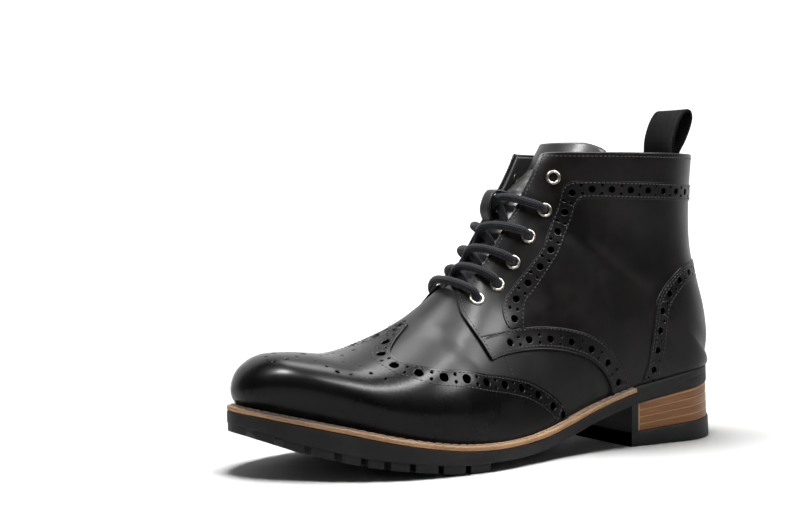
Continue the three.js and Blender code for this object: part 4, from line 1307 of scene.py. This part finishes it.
def sew(name, kind, material, width, height):
    """All the stitches of one thread as one mesh of small capsules."""
    template = bmesh.new()
    bmesh.ops.create_uvsphere(template, u_segments=6, v_segments=5, radius=1)
    bmesh.ops.rotate(template, verts=template.verts, matrix=Matrix.Rotation(math.pi / 2, 3, "Y"))
    shape = np.array([tuple(v.co) for v in template.verts])
    fullness = np.sign(shape[:, 0]) * np.abs(shape[:, 0]) ** 0.6
    faces = [[v.index for v in f.verts] for f in template.faces]
    template.free()
    verts, polygons = [], []
    for points, out, length in STITCHES[kind]:
        ahead = unit(np.gradient(points, axis=0))
        left = unit(np.cross(out, ahead))
        for centre, along, over, up in zip(points, ahead, left, out):
            start = len(verts)
            placed = (
                centre
                + np.outer(fullness * length / 2, along)
                + np.outer(shape[:, 1] * width / 2, over)
                + np.outer(shape[:, 2] * height / 2 + height * 0.15, up)
            )
            verts += placed.tolist()
            polygons += [[start + k for k in face] for face in faces]
    mesh = bpy.data.meshes.new(name)
    mesh.from_pydata(metres(verts).tolist(), [], polygons)
    mesh.shade_smooth()
    return add(name, mesh, [material])



# Upper: base wall, wing tip, quarters, bands, counter
cut_sheet("vamp_and_lining", upper_edge(), [], -UPPER_WALL, 0.0, [VAMP_CALF, LINING], ("upper",),
          spacing=3.2)

cap_line = {side: wing_edge(side) for side in (1, -1)}
quarter_line = {side: side_line(QUARTER_LOW, side) for side in (1, -1)}
counter_line = {side: side_line(COUNTER_FRONT, side) for side in (1, -1)}
cap_punches = []
for side in (1, -1):
    row = shifted(cap_line[side], 4.9 * side)
    cap_punches += punched_row(row, pitch=13.6, apart=2.1, start=6, end=4.5)
for x, aside, radius in MEDALLION:
    for sign in (1, -1) if aside else (1,):
        cap_punches.append(around(top_spot(x, WING_MIDDLE * BALL_WIDTH + sign * aside), radius, 12))
cut_sheet("wing_tip", cap_edge(), cap_punches, CLEAR, COVER, [CALF, CUT_EDGE], ("toe_cap",), spacing=2.5)
# Near-black discs in the wing tip's holes: painted shade
punch_shade_discs("wing_punch_shade_discs", cap_punches, LOW_FLOOR)

QUARTER_NAMES = {1: "lateral", -1: "medial"}
for side in (1, -1):
    strip = shifted(quarter_line[side], -5.4 * side)
    inner = strip[: int(len(strip) * 0.84)]
    holes = punched_row(inner, pitch=13.4, apart=2.1, start=5, end=0.5, large=2.2)
    node = f"quarter_{QUARTER_NAMES[side]}"
    cut_sheet(f"{node}_leather", quarter_edge(side), holes, CLEAR, COVER, [SHAFT_CALF, CUT_EDGE], (node,),
              spacing=2.7)
    # Near-black discs in the quarter's holes: painted shade
    punch_shade_discs(f"{node}_punch_shade_discs", holes, LOW_FLOOR)

band_lines = {}
for side in (1, -1):
    front = clipped(side_line(BAND_FRONT[1:], side), side)
    back = clipped(side_line(BAND_BACK[1:], side), side)
    middle = (walk(front, count=BAND_POINTS) + walk(back, count=BAND_POINTS)) / 2
    band_lines[side] = (front, back)
    holes = punched_row(middle, pitch=11.6, apart=2.3, start=5, end=3, large=2.05)
    node = f"facing_band_{QUARTER_NAMES[side]}"
    cut_sheet(f"{node}_leather", band_edge(side), holes, COVER, BAND_FACE, [SHAFT_CALF, CUT_EDGE], (node,),
              spacing=2.4)
    # Near-black discs in the band's holes: painted shade
    punch_shade_discs(f"{node}_punch_shade_discs", holes, HIGH_FLOOR)

counter_punches = []
for side in (1, -1):
    row = shifted(counter_line[side], -5.4 * side)
    counter_punches += punched_row(row, pitch=11.4, apart=2.1, start=5, end=6, large=2.05)
cut_sheet("heel_counter_leather", counter_edge(), counter_punches, COVER, COUNTER_FACE,
          [SHAFT_CALF, CUT_EDGE], ("heel_counter",), spacing=2.6, turned=True)
# Near-black discs in the counter's holes: painted shade
punch_shade_discs("counter_punch_shade_discs", counter_punches, HIGH_FLOOR)

# Stitch rows beside every edge
for side in (1, -1):
    wing, low, counter = cap_line[side], quarter_line[side], counter_line[side]
    front, back = band_lines[side]
    for aside in (1.5, 9.3):
        stitch_row(shifted(wing, aside * side), COVER)
    for aside in (1.6, 10.9):
        row = shifted(low, -aside * side)
        stitch_row(row if aside < 5 else row[: int(len(row) * 0.97)], COVER)
    for aside in (1.3, 3.0, 9.4):
        stitch_row(shifted(counter, -aside * side), COUNTER_FACE)
    stitch_row(shifted(front, -1.2 * side), BAND_FACE)
    stitch_row(shifted(back, 1.2 * side), BAND_FACE)
    facing = side_line(QUARTER_FRONT, side)
    stitch_row(shifted(facing, -1.8 * side), COVER)
    throat_row = THROAT_EDGE[side][THROAT_EDGE[side][:, 0] > 11.2]
    stitch_row(shifted(throat_row, -1.9 * side), COVER)
    collar = walk(np.column_stack([
        np.full(80, LAST_ROW), np.linspace(THROAT_EDGE[side][-1][1], 2 * side, 80)
    ]), 1.5)
    stitch_row(shifted(collar, -2.0 * side), COVER, start=2)
    stitch_row(side_line([(0.549, 0.343), (0.539, 0.3), (0.536, 0.265)], side), 0.1)
    stitch_row(side_line([(0.59, 0.397), (0.56, 0.4035), (0.524, 0.4095)], side), COVER)


# Folded edges that catch the light: slim beads half sunk in the leather
def beads(name, runs, radius, material):
    bm = bmesh.new()
    own_map = bm.loops.layers.uv.new("UVMap")
    for line, offset in runs:
        marks = walk(line, 1.3)
        points, _ = skin(marks[:, 0], marks[:, 1], offset)
        tube_into(bm, points, radius, 8, own_map)
    bmesh.ops.recalc_face_normals(bm, faces=bm.faces)
    return add(name, mesh_of(bm, name), [material])


strip_beads, collar_beads = [], []
for side in (1, -1):
    strip_top = shifted(quarter_line[side], -11.6 * side)
    strip_beads.append((strip_top[: int(len(strip_top) * 0.965)], COVER - 0.1))
    strip_beads.append((quarter_line[side], COVER - 0.35))
    facing = side_line(QUARTER_FRONT, side)
    edge = THROAT_EDGE[side]
    edge = edge[edge[:, 0] > facing[-1, 0] + 0.15]
    strip_beads.append((joined(facing, edge), COVER - 0.35))
    strip_beads.append((side_line([(0.594, 0.405), (0.56, 0.4115), (0.524, 0.4175)], side), COVER - 0.1))
    across = np.linspace(edge[-1, 1], 2 * side, 90)
    collar_beads.append((np.column_stack([np.full(90, float(LAST_ROW)), across]), COVER - 0.75))
beads("folded_edges", strip_beads, 0.45, SHAFT_CALF)
beads("collar_roll", collar_beads, 0.75, SHAFT_CALF)

# Eyelets: a rolled ring spun about its hole
EYELETS = [11.09, 12.3, 13.63, 15.23, 18.32, 21.41]
EYELET_FROM_EDGE = 0.0713 * BALL_WIDTH
EYELET_Y = THROAT_WIDTH / 2 + EYELET_FROM_EDGE
# Ring's section: distance from its middle, height over the leather
EYELET_PROFILE = [
    (2.3, -3.4), (2.3, -1.0), (2.3, 0.1), (2.42, 0.55), (2.75, 0.92), (3.2, 1.08), (3.65, 0.95),
    (3.98, 0.62), (4.1, 0.18), (4.02, -0.12), (3.2, -0.18), (2.75, -0.6), (2.75, -3.4),
]


def ridge_spot(place, y, height=0.0, offset=COVER):
    """Point and normal of the leather at a distance from the middle plane."""
    side = -1 if y < 0 else 1
    steps = np.linspace(0.0, 1.3, 400)
    points = layered(np.full(400, place), steps * side + 1e-6 * side, offset)
    across = np.interp(abs(y), np.abs(points[:, 1]), steps) * side
    across = across if abs(across) > 0.01 else 0.01 * side
    point, out = skin([place], [across], offset)
    if abs(y) < 0.2:
        point[0][1] = y
    return point[0] + out[0] * height, out[0]


def eyelet(name, place, y, node):
    foot, out = ridge_spot(place, y)
    bm = bmesh.new()
    verts = [bm.verts.new((r, 0, h)) for r, h in EYELET_PROFILE]
    edges = [bm.edges.new((verts[k], verts[(k + 1) % len(verts)])) for k in range(len(verts))]
    bmesh.ops.spin(bm, geom=verts + edges, axis=(0, 0, 1), cent=(0, 0, 0), angle=2 * math.pi, steps=28,
                   use_merge=True)
    bmesh.ops.remove_doubles(bm, verts=bm.verts, dist=1e-5)
    turn = Vector(out).to_track_quat("Z", "Y").to_matrix()
    bmesh.ops.rotate(bm, verts=bm.verts, matrix=turn)
    for vert in bm.verts:
        vert.co = Vector(metres(np.array(vert.co) + foot))
    bmesh.ops.recalc_face_normals(bm, faces=bm.faces)
    for face in bm.faces:
        face.smooth = True
    return add(name, mesh_of(bm, name), [NICKEL], node)


for index, place in enumerate(EYELETS):
    for side in (1, -1):
        node = f"eyelet_{QUARTER_NAMES[side]}_{index + 1}"
        eyelet(f"{node}_ring", place, side * EYELET_Y, node)

# Laces: the bar, then the crossings; a strand dives into its eyelet and rises under the other flap
EYELET_TOP = 1.15
LACE_RADIUS = 0.62 * LACE_DIAMETER
OVER_EYELET = EYELET_TOP + LACE_RADIUS
BEHIND_EYELET = -4.6
IN_EYELET = 0.6


def lace_path(stops):
    points = []
    for place, y, height in stops:
        point, _ = ridge_spot(place, y, height)
        points.append(point)
    return through(points, 0.9)


# A crossing's stops: distance from the middle towards its eyelet, share of the fall, height
OVER_STRAND = [
    (9.0, 0.31, 2.0), (3.9, 0.45, 1.3), (0.0, 0.57, -0.2), (-3.0, 0.67, -2.0), (-8.0, 0.82, -4.2),
]
UNDER_STRAND = [
    (9.0, 0.31, -0.4), (3.9, 0.45, -3.4), (0.0, 0.57, -4.5), (-3.0, 0.67, -4.9), (-8.0, 0.82, -4.8),
]


def lace_strand(pair, side, crossing):
    """Down through the near eyelet, slanting over the throat and away under the far flap."""
    upper = EYELETS[pair]
    fall = upper - EYELETS[pair - 1]
    half = THROAT_WIDTH / 2
    stops = [
        (EYELET_Y, 0, BEHIND_EYELET), (EYELET_Y - 0.35, 0, IN_EYELET),
        (EYELET_Y - 1.9, 0.03, OVER_EYELET + 0.1),
        (half + 2.0, 0.15, OVER_EYELET - 0.2), *crossing,
        (-half + 1.4, 0.93, -4.3), (-half - 3.0, 0.97, -5.6),
    ]
    return lace_path([(upper - share * fall, side * y + 0.001, height) for y, share, height in stops])


def lace_bar():
    place = EYELETS[0]
    half = THROAT_WIDTH / 2
    stops = [
        (place, EYELET_Y, BEHIND_EYELET), (place, EYELET_Y - 0.35, IN_EYELET),
        (place - 0.03, EYELET_Y - 1.9, OVER_EYELET + 0.1), (place - 0.12, half + 1.8, OVER_EYELET),
        (place - 0.28, half - 6, 2.9),
    ]
    other = [(p, -y, h) for p, y, h in stops[::-1]]
    return lace_path(stops + [(place - 0.33, 0.01, 2.7)] + other)


LACE_RUNS = {1: [lace_bar()]}
for pair in range(1, 5):
    LACE_RUNS[pair + 1] = [lace_strand(pair, -1, UNDER_STRAND), lace_strand(pair, 1, OVER_STRAND)]
for number, runs in LACE_RUNS.items():
    bm = bmesh.new()
    own_map = bm.loops.layers.uv.new("UVMap")
    for path in runs:
        tube_into(bm, path, LACE_RADIUS, 16, own_map, 0.92)
    bmesh.ops.recalc_face_normals(bm, faces=bm.faces)
    add(f"round_lace_{number}", mesh_of(bm, f"round_lace_{number}"), [LACE], f"lace_{number}")

# Tongue: a tapering apron under the throat, its top edge turned over
TONGUE = table(["place", "half", "depth", "curl"], [
    [7.9, 0.26, 0.9, 1],
    [8.8, 0.28, 1.2, 1],
    [9.6, 0.29, 1.8, 1],
    [10.4, 0.31, 2.2, 1],
    [11.2, 0.33, 2.8, 1],
    [12.3, 0.34, 3.5, 1],
    [13.6, 0.35, 4.1, 1],
    [15.2, 0.355, 4.4, 1],
    [16.8, 0.36, 4.6, 1],
    [18.3, 0.38, 5.0, 1],
    [20, 0.4, 6.4, 1],
    [22, 0.43, 9.0, 0.96],
    [24, 0.46, 12.4, 0.92],
    [25.5, 0.47, 14.0, 0.9],
    [27, 0.44, 15.5, 0.9],
])
TONGUE_LEAN = 2.4
TONGUE_RISE = 5.8


def tongue_face(along, across):
    """Outer face of the tongue, by shares of its length and width."""
    place = TONGUE["place"][0] + along * (TONGUE["place"][-1] - TONGUE["place"][0])
    half, depth, curl = (smooth(TONGUE["place"], TONGUE[k], place) for k in ("half", "depth", "curl"))
    corner = np.clip((along - 0.93) / 0.07, 0, 1)
    half = half * (1 - 0.3 * corner**3)
    beyond = np.maximum(0, place - LAST_ROW)
    row = np.minimum(place, LAST_ROW - 0.1)
    y = half * TONGUE_WIDTH * (2 * across - 1)
    points = np.empty((len(place), 3))
    cache = {}
    steps = np.linspace(0.0, 1.3, 240) + 1e-6
    for index in range(len(place)):
        key = round(float(row[index]), 5)
        if key not in cache:
            nets = {side: bare_skin(np.full(240, row[index]), side * steps, 0) for side in (1, -1)}
            _, out = ridge_spot(row[index], 0.3)
            out = np.array([out[0], 0, out[2]])
            cache[key] = nets, out / np.linalg.norm(out)
        nets, out = cache[key]
        side = 1 if y[index] >= 0 else -1
        net = nets[side]
        reach = abs(y[index] * curl[index])
        x, z = (np.interp(reach, side * net[:, 1], net[:, k]) for k in (0, 2))
        points[index] = np.array([x, y[index], z]) - out * (UPPER_WALL + CLEAR + depth[index])
    points[:, 0] -= TONGUE_LEAN * beyond
    points[:, 2] += TONGUE_RISE * beyond
    return points


formed("tongue_leather", (110, 26), tongue_face, [TONGUE_CALF], ("tongue",), thick=TONGUE_THICKNESS)

# Lace keeper: flat leather loop on the tongue
KEEPER = table(["place", "share"], [
    [15.0, 0], [15.2, 0.45], [15.6, 0.85], [16.3, 1], [17.0, 1], [17.7, 0.85], [18.1, 0.45], [18.3, 0],
])


def keeper_face(along, across):
    row = np.interp(along, np.linspace(0, 1, len(KEEPER["place"])), KEEPER["place"])
    share = smooth(KEEPER["place"], KEEPER["share"], row)
    arch = COVER + 2.5
    result = []
    for place, part, b in zip(row, share, across):
        foot = -UPPER_WALL - float(smooth(TONGUE["place"], TONGUE["depth"], place))
        height = foot + part * (arch - foot) + KEEPER_THICKNESS
        base, out = ridge_spot(place, 0.3)
        out = np.array([out[0], 0, out[2]]) / math.hypot(out[0], out[2])
        base[1] = 0
        result.append(base + out * (height - COVER) + np.array([0, (b - 0.5) * KEEPER_WIDTH, 0]))
    return np.array(result)


formed("lace_keeper_leather", (48, 6), keeper_face, [TONGUE_CALF], ("lace_keeper",), thick=KEEPER_THICKNESS)

# Pull loop: herringbone tape folded inside the back of the collar
PULL_LOOP = [
    (0.08, -0.5), (0.08, -0.2), (0.02, 0.08), (-0.12, 0.35), (-0.22, 0.62), (-0.25, 0.84), (-0.19, 0.97),
    (-0.05, 1.0), (0.08, 0.88), (0.18, 0.65), (0.23, 0.38), (0.21, 0.1), (0.18, -0.2), (0.18, -0.5),
]
LOOP_BEND = 17
LOOP_FLATTENING = 0.75
back_wall = bare_skin(np.array([float(LAST_ROW)]), np.array([2.0]), 0)[0][0] + UPPER_WALL
loop_middle = back_wall + LOOP_THICKNESS / 2 + 2 * CLEAR
loop_path = curve_through([
    (loop_middle + x * LOOP_HEIGHT, SHAFT_HEIGHT + z * LOOP_HEIGHT - LOOP_THICKNESS) for x, z in PULL_LOOP
], 0.8)


def loop_face(along, across):
    mark = along * (len(loop_path) - 1)
    x = np.interp(mark, np.arange(len(loop_path)), loop_path[:, 0])
    z = np.interp(mark, np.arange(len(loop_path)), loop_path[:, 1])
    y = (across - 0.5) * LOOP_WIDTH
    rise = np.clip((z - SHAFT_HEIGHT) / LOOP_HEIGHT, 0, 1)
    bend = (1 - LOOP_FLATTENING * rise) * y * y / (2 * LOOP_BEND)
    return np.column_stack([x + bend, y, z])


formed("pull_loop_tape", (120, 20), loop_face, [TWILL], ("pull_loop",), uv=(95, LOOP_WIDTH),
       thick=LOOP_THICKNESS)


# Sole unit: slabs of the sole's outline between two heights
def sole_stations(start, end, count):
    """Stations along the sole, close together at its round ends."""
    turn = np.linspace(math.acos(1 - 2 * start / SOLE_LENGTH), math.acos(1 - 2 * end / SOLE_LENGTH), count)
    return SOLE_LENGTH * (1 - np.cos(turn)) / 2


def sole_sides(x, inset=0.0):
    share = (x - inset) / (SOLE_LENGTH - 2 * inset)
    half = np.maximum(0, (sole_half(share) - inset) * end_round(share))
    return sole_middle(share), half


def sole_slab(bm, start, end, low, high, inset=0.0, round_by=0.6, count=140, sides=None, lean=False):
    """Slab with softened long edges; low and high are heights or functions of x."""
    stations = sole_stations(max(start, inset), min(end, SOLE_LENGTH - inset), count)
    stations = np.concatenate([stations[:1], stations, stations[-1:]])
    middle, half = sides(stations) if sides else sole_sides(stations, inset)
    half = np.maximum(half, 0.02)
    low_z = low(stations) if callable(low) else np.full(len(stations), float(low))
    high_z = high(stations) if callable(high) else np.full(len(stations), float(high))
    mid_z = (low_z + high_z) / 2
    r = np.minimum(round_by, np.minimum(half * 0.9, (high_z - low_z) * 0.45))
    k = r * 0.3
    ring = [
        (-(half - r), low_z), (half - r, low_z), (half - k, low_z + k), (half, low_z + r),
        (half, high_z - r), (half - k, high_z - k), (half - r, high_z), (-(half - r), high_z),
        (-(half - k), high_z - k), (-half, high_z - r), (-half, low_z + r), (-(half - k), low_z + k),
    ]
    offsets = np.array([y for y, _ in ring])
    heights = np.array([z for _, z in ring])
    offsets[:, 0] = offsets[:, -1] = 0
    heights[:, 0], heights[:, -1] = mid_z[0], mid_z[-1]
    made = bmesh.ops.create_grid(bm, x_segments=len(stations) - 1, y_segments=len(ring), size=1)["verts"]
    flat = np.array([tuple(v.co) for v in made])[:, :2] / 2 + 0.5
    column = np.rint(flat[:, 0] * (len(stations) - 1)).astype(int)
    row = np.rint(flat[:, 1] * len(ring)).astype(int) % len(ring)
    x = stations[column]
    z = heights[row, column]
    if lean:
        x = x + HEEL_LEAN * np.maximum(0, 1 - x / HEEL_LENGTH) * z / HEEL_HEIGHT
    points = np.column_stack([x, middle[column] + offsets[row, column], z])
    for vert, co in zip(made, metres(points)):
        vert.co = co
    bmesh.ops.remove_doubles(bm, verts=made, dist=1e-6)


def sole_piece(name, slabs, materials, *nodes):
    bm = bmesh.new()
    for slab in slabs:
        sole_slab(bm, **slab)
    bmesh.ops.recalc_face_normals(bm, faces=bm.faces)
    for face in bm.faces:
        face.smooth = True
    mesh = mesh_of(bm, name)
    mesh.set_sharp_from_angle(angle=math.radians(38))
    return add(name, mesh, materials, *nodes)


def welt_bottom(x):
    return seat_height(x) - WELT_THICKNESS


# Moulded blocks are sunk a little in the sole
SUNK = 1
LUG_INSET = 0.4

def under_sole(x):
    return underside(x) + SUNK

def over_sole(x):
    return welt_bottom(x) - SUNK

def side_lugs(sign):
    """Middle and half width of the lugs along one edge of the sole."""
    def sides(x):
        middle, half = sole_sides(x, LUG_INSET)
        width = np.minimum(LUG_REACH, half)
        return middle + sign * (half - width / 2), width / 2
    return sides

def centre_lugs(x):
    return sole_sides(x, LUG_REACH + 2 * LUG_GAP)

LUG_GAPS = [0.669, 0.721, 0.77, 0.81, 0.843, 0.879, 0.918, 0.954, 0.984]
LUG_START = 0.622
lug_edges = [LUG_START * SOLE_LENGTH]
for gap in LUG_GAPS:
    lug_edges += [gap * SOLE_LENGTH - LUG_GAP / 2, gap * SOLE_LENGTH + LUG_GAP / 2]
lug_edges.append(SOLE_LENGTH - LUG_INSET)
lug_blocks = [
    dict(start=start, end=end, low=tread_height, high=under_sole, sides=sides, count=5, round_by=0.5)
    for start, end in zip(lug_edges[::2], lug_edges[1::2])
    for sides in (side_lugs(1), side_lugs(-1), centre_lugs)
]

rubber = [
    dict(start=0, end=SOLE_LENGTH, low=underside, high=welt_bottom, round_by=0.8, lean=True, count=190),
    dict(start=0, end=WELT_START - 0.2, low=over_sole, high=seat_height, lean=True, count=60),
    dict(start=WELT_START - SUNK, end=SOLE_LENGTH - WELT_LEDGE, low=over_sole, high=seat_height,
         sides=lambda x: sole_sides(x, WELT_LEDGE + CLEAR)),
    dict(start=HEEL_LENGTH - FRONT_BLOCK, end=HEEL_LENGTH, low=0.0, high=under_sole, count=5, lean=True),
    dict(start=0, end=HEEL_LENGTH, low=0.0, high=top_piece, lean=True, count=80, round_by=0.9),
]
sole_piece("rubber_sole", rubber + lug_blocks, [RUBBER], "outsole")

LIFTS = 4
LIFT_GROOVE = 0.25
STACK_INSET = 0.6


def lift_height(share):
    return lambda x: top_piece(x) + CLEAR + share * (underside(x) - top_piece(x) - 2 * CLEAR)


lifts = [
    dict(start=STACK_INSET, end=HEEL_LENGTH - FRONT_BLOCK - CLEAR, inset=STACK_INSET,
         low=lift_height(number / LIFTS), high=lift_height((number + 1) / LIFTS),
         round_by=LIFT_GROOVE, lean=True, count=80)
    for number in range(LIFTS)
]
sole_piece("heel_lifts", lifts, [HEEL_TAN], "heel_stack")

# Welt: a strip round the forefoot and waist, its upper edge notched between stitches
STITCH_PITCH = 5.0
STITCH_INSET = 2.5


def welt_lines():
    fine = sole_stations(WELT_START, SOLE_LENGTH, 900)
    middle, half = sole_sides(fine)
    right = np.column_stack([fine, middle + half])
    left = np.column_stack([fine, middle - half])[::-1]
    line = np.vstack([right, left])
    run = np.concatenate([[0], np.cumsum(np.hypot(*np.diff(line, axis=0).T))])
    return line, run


WELT_LINE, WELT_RUN = welt_lines()


def welt_spot(mark, inset):
    """Station of a run along the sole's edge, its place inset from the edge, the way along the edge."""
    x, y = (np.interp(mark, WELT_RUN, WELT_LINE[:, k]) for k in (0, 1))
    ahead = unit(np.column_stack([
        np.interp(mark + 1, WELT_RUN, WELT_LINE[:, k]) - np.interp(mark - 1, WELT_RUN, WELT_LINE[:, k])
        for k in (0, 1)
    ]))
    return x, x + ahead[:, 1] * inset, y - ahead[:, 0] * inset, ahead

def welt_face(along, around_it):
    """Strip's section: inner bottom, outer bottom, outer top, inner top, by shares round it."""
    mark = along * WELT_RUN[-1]
    thickness = WELT_THICKNESS - CLEAR
    wave = 0.5 + 0.5 * np.cos(2 * math.pi * mark / STITCH_PITCH)
    notch = 0.32 * (1 - wave**0.6)
    section = np.array([
        (WELT_LEDGE, 0), (0.5, 0), (0.12, 0.12), (0, 0.5), (0, thickness - 0.75), (0.15, thickness - 0.3),
        (0.65, thickness), (1.6, thickness), (2.2, thickness), (3.4, thickness), (WELT_LEDGE, thickness),
        (WELT_LEDGE, 0),
    ])
    spot = around_it * (len(section) - 1)
    inset = np.interp(spot, np.arange(len(section)), section[:, 0])
    height = np.interp(spot, np.arange(len(section)), section[:, 1])
    near_edge = (inset < 1.9) & (height > thickness - 0.9)
    height = height - notch * near_edge
    x, px, py, _ = welt_spot(mark, inset + 0.25 * notch * near_edge)
    return np.column_stack([px, py, seat_height(x) - thickness + height])


formed("tan_welt_strip", (900, 11), welt_face, [WELT_TAN], ("welt",), closed=True)


def welt_stitches():
    count = int(WELT_RUN[-1] / STITCH_PITCH)
    x, px, py, ahead = welt_spot((np.arange(count) + 0.5) * STITCH_PITCH, STITCH_INSET)
    points = np.column_stack([px, py, seat_height(x) + 0.05])
    rise = np.gradient(points[:, 2]) / STITCH_PITCH
    out = unit(np.column_stack([-ahead[:, 0] * rise, -ahead[:, 1] * rise, np.ones(count)]))
    STITCHES.setdefault("tan", []).append((points, out, STITCH_PITCH - 0.55))


welt_stitches()
sew("black_stitching", "black", THREAD, 0.55, 0.42)
sew("welt_stitching", "tan", WELT_THREAD, 1.25, 0.95)


def board_face(along, across):
    offset = -UPPER_WALL - 4 * CLEAR - COVER
    back, front = HEEL_BACK - offset, SOLE_LENGTH - TOE_MARGIN + offset
    x = back + (front - back) * (1 - np.cos(math.pi * along)) / 2
    middle, half = feather_sides(x, offset)
    return np.column_stack([x, middle + half * (2 * across - 1), seat_height(x) + CLEAR + INSOLE_THICKNESS])


formed("insole_board_piece", (90, 16), board_face, [BOARD], ("insole",), thick=INSOLE_THICKNESS)

# Floor that curves up into a backdrop, camera and light
VIEW = Vector((-0.5214, -0.8522, -0.044))
# Floor before and behind the boot, round of the backdrop, its top and half its width, in metres
NEAR, FAR, ROUND, TOP, HALF_WIDTH = 2.5, 1.6, 0.8, 3.0, 4
SWEEP = [(NEAR, 0.0), (0.0, 0.0), (-FAR, 0.0)]
BENDS = [a * TURN / 8 for a in range(1, 9)]
SWEEP += [(-FAR - ROUND * math.sin(bend), ROUND - ROUND * math.cos(bend)) for bend in BENDS]
SWEEP += [(-FAR - ROUND, TOP)]
floor_paint = Paint("pale_floor_with_painted_glow")
# The floor glows more the further it lies along the view, with no glow near the boot: painted light that
# whitens the far floor and the backdrop
away = floor_paint.node(
    "ShaderNodeVectorMath", {"operation": "DOT_PRODUCT"}, floor_paint.place, tuple(VIEW), out="Value"
)
FLOOR = floor_paint.finish(
    Base_Color=(0.7, 0.7, 0.7, 1.0),
    Roughness=1.0,
    Specular_IOR_Level=0.0,
    Emission_Color=floor_paint.blend(floor_paint.soften(away, 0.25, 1.2), (0, 0, 0), (1, 1, 1)),
    Emission_Strength=1.0,
)
bm = bmesh.new()
rows = []
for back, up in SWEEP:
    middle = np.array([VIEW.x, VIEW.y, 0]) * -back + (0, 0, up)
    wide = np.array([-VIEW.y, VIEW.x, 0]) * HALF_WIDTH
    rows.append([bm.verts.new(middle - wide), bm.verts.new(middle + wide)])
for (a, b), (c, d) in zip(rows, rows[1:]):
    bm.faces.new((a, b, d, c)).smooth = True
bmesh.ops.recalc_face_normals(bm, faces=bm.faces)
floor = bpy.data.objects.new("studio_floor", mesh_of(bm, "studio_floor"))
floor.data.materials.append(FLOOR)
bpy.context.scene.collection.objects.link(floor)

camera_data = bpy.data.cameras.new("camera")
camera_data.lens = 66.65
camera_data.sensor_width = 36
camera = bpy.data.objects.new("camera", camera_data)
bpy.context.scene.collection.objects.link(camera)
camera.location = (0.4670, 0.66665, 0.1378)
camera.rotation_euler = VIEW.to_track_quat("-Z", "Y").to_euler()
bpy.context.scene.camera = camera

world = bpy.data.worlds.new("studio")
world.use_nodes = True
world.node_tree.nodes["Background"].inputs["Color"].default_value = (1, 1, 1, 1)
world.node_tree.nodes["Background"].inputs["Strength"].default_value = 0.045
bpy.context.scene.world = world
bpy.context.scene.view_settings.view_transform = "Standard"

# Name, place, target, width, height, watts, and whether it lights the floor too or is only mirrored
LIGHTS = [
    ("overhead", (0.0, -0.06, 1.0), (0.05, 0.02, 0.05), 0.42, 0.3, 17, True),
    ("behind", (-0.12, -0.33, 1.0), (0.05, 0.02, 0.05), 0.5, 0.36, 9, False),
    ("long_strip", (-0.12, 0.44, 1.0), (0.05, 0.0, 0.05), 0.9, 0.14, 22, False),
    ("heel_side", (-0.85, 0.74, 1.0), (-0.05, 0.0, 0.08), 0.55, 0.4, 17, False),
    ("toe_side", (0.66, 0.08, 1.0), (0.12, 0.0, 0.05), 0.22, 0.22, 22, False),
]
for name, place, target, width, height, watts, on_floor in LIGHTS:
    lamp = bpy.data.lights.new(name, "AREA")
    lamp.shape = "RECTANGLE"
    lamp.size, lamp.size_y, lamp.energy = width, height, watts
    light = bpy.data.objects.new(name, lamp)
    bpy.context.scene.collection.objects.link(light)
    light.location = place
    light.rotation_euler = (Vector(target) - Vector(place)).to_track_quat("-Z", "Y").to_euler()
    light.visible_diffuse = on_floor
    light.visible_glossy = not on_floor

bpy.context.view_layer.update()
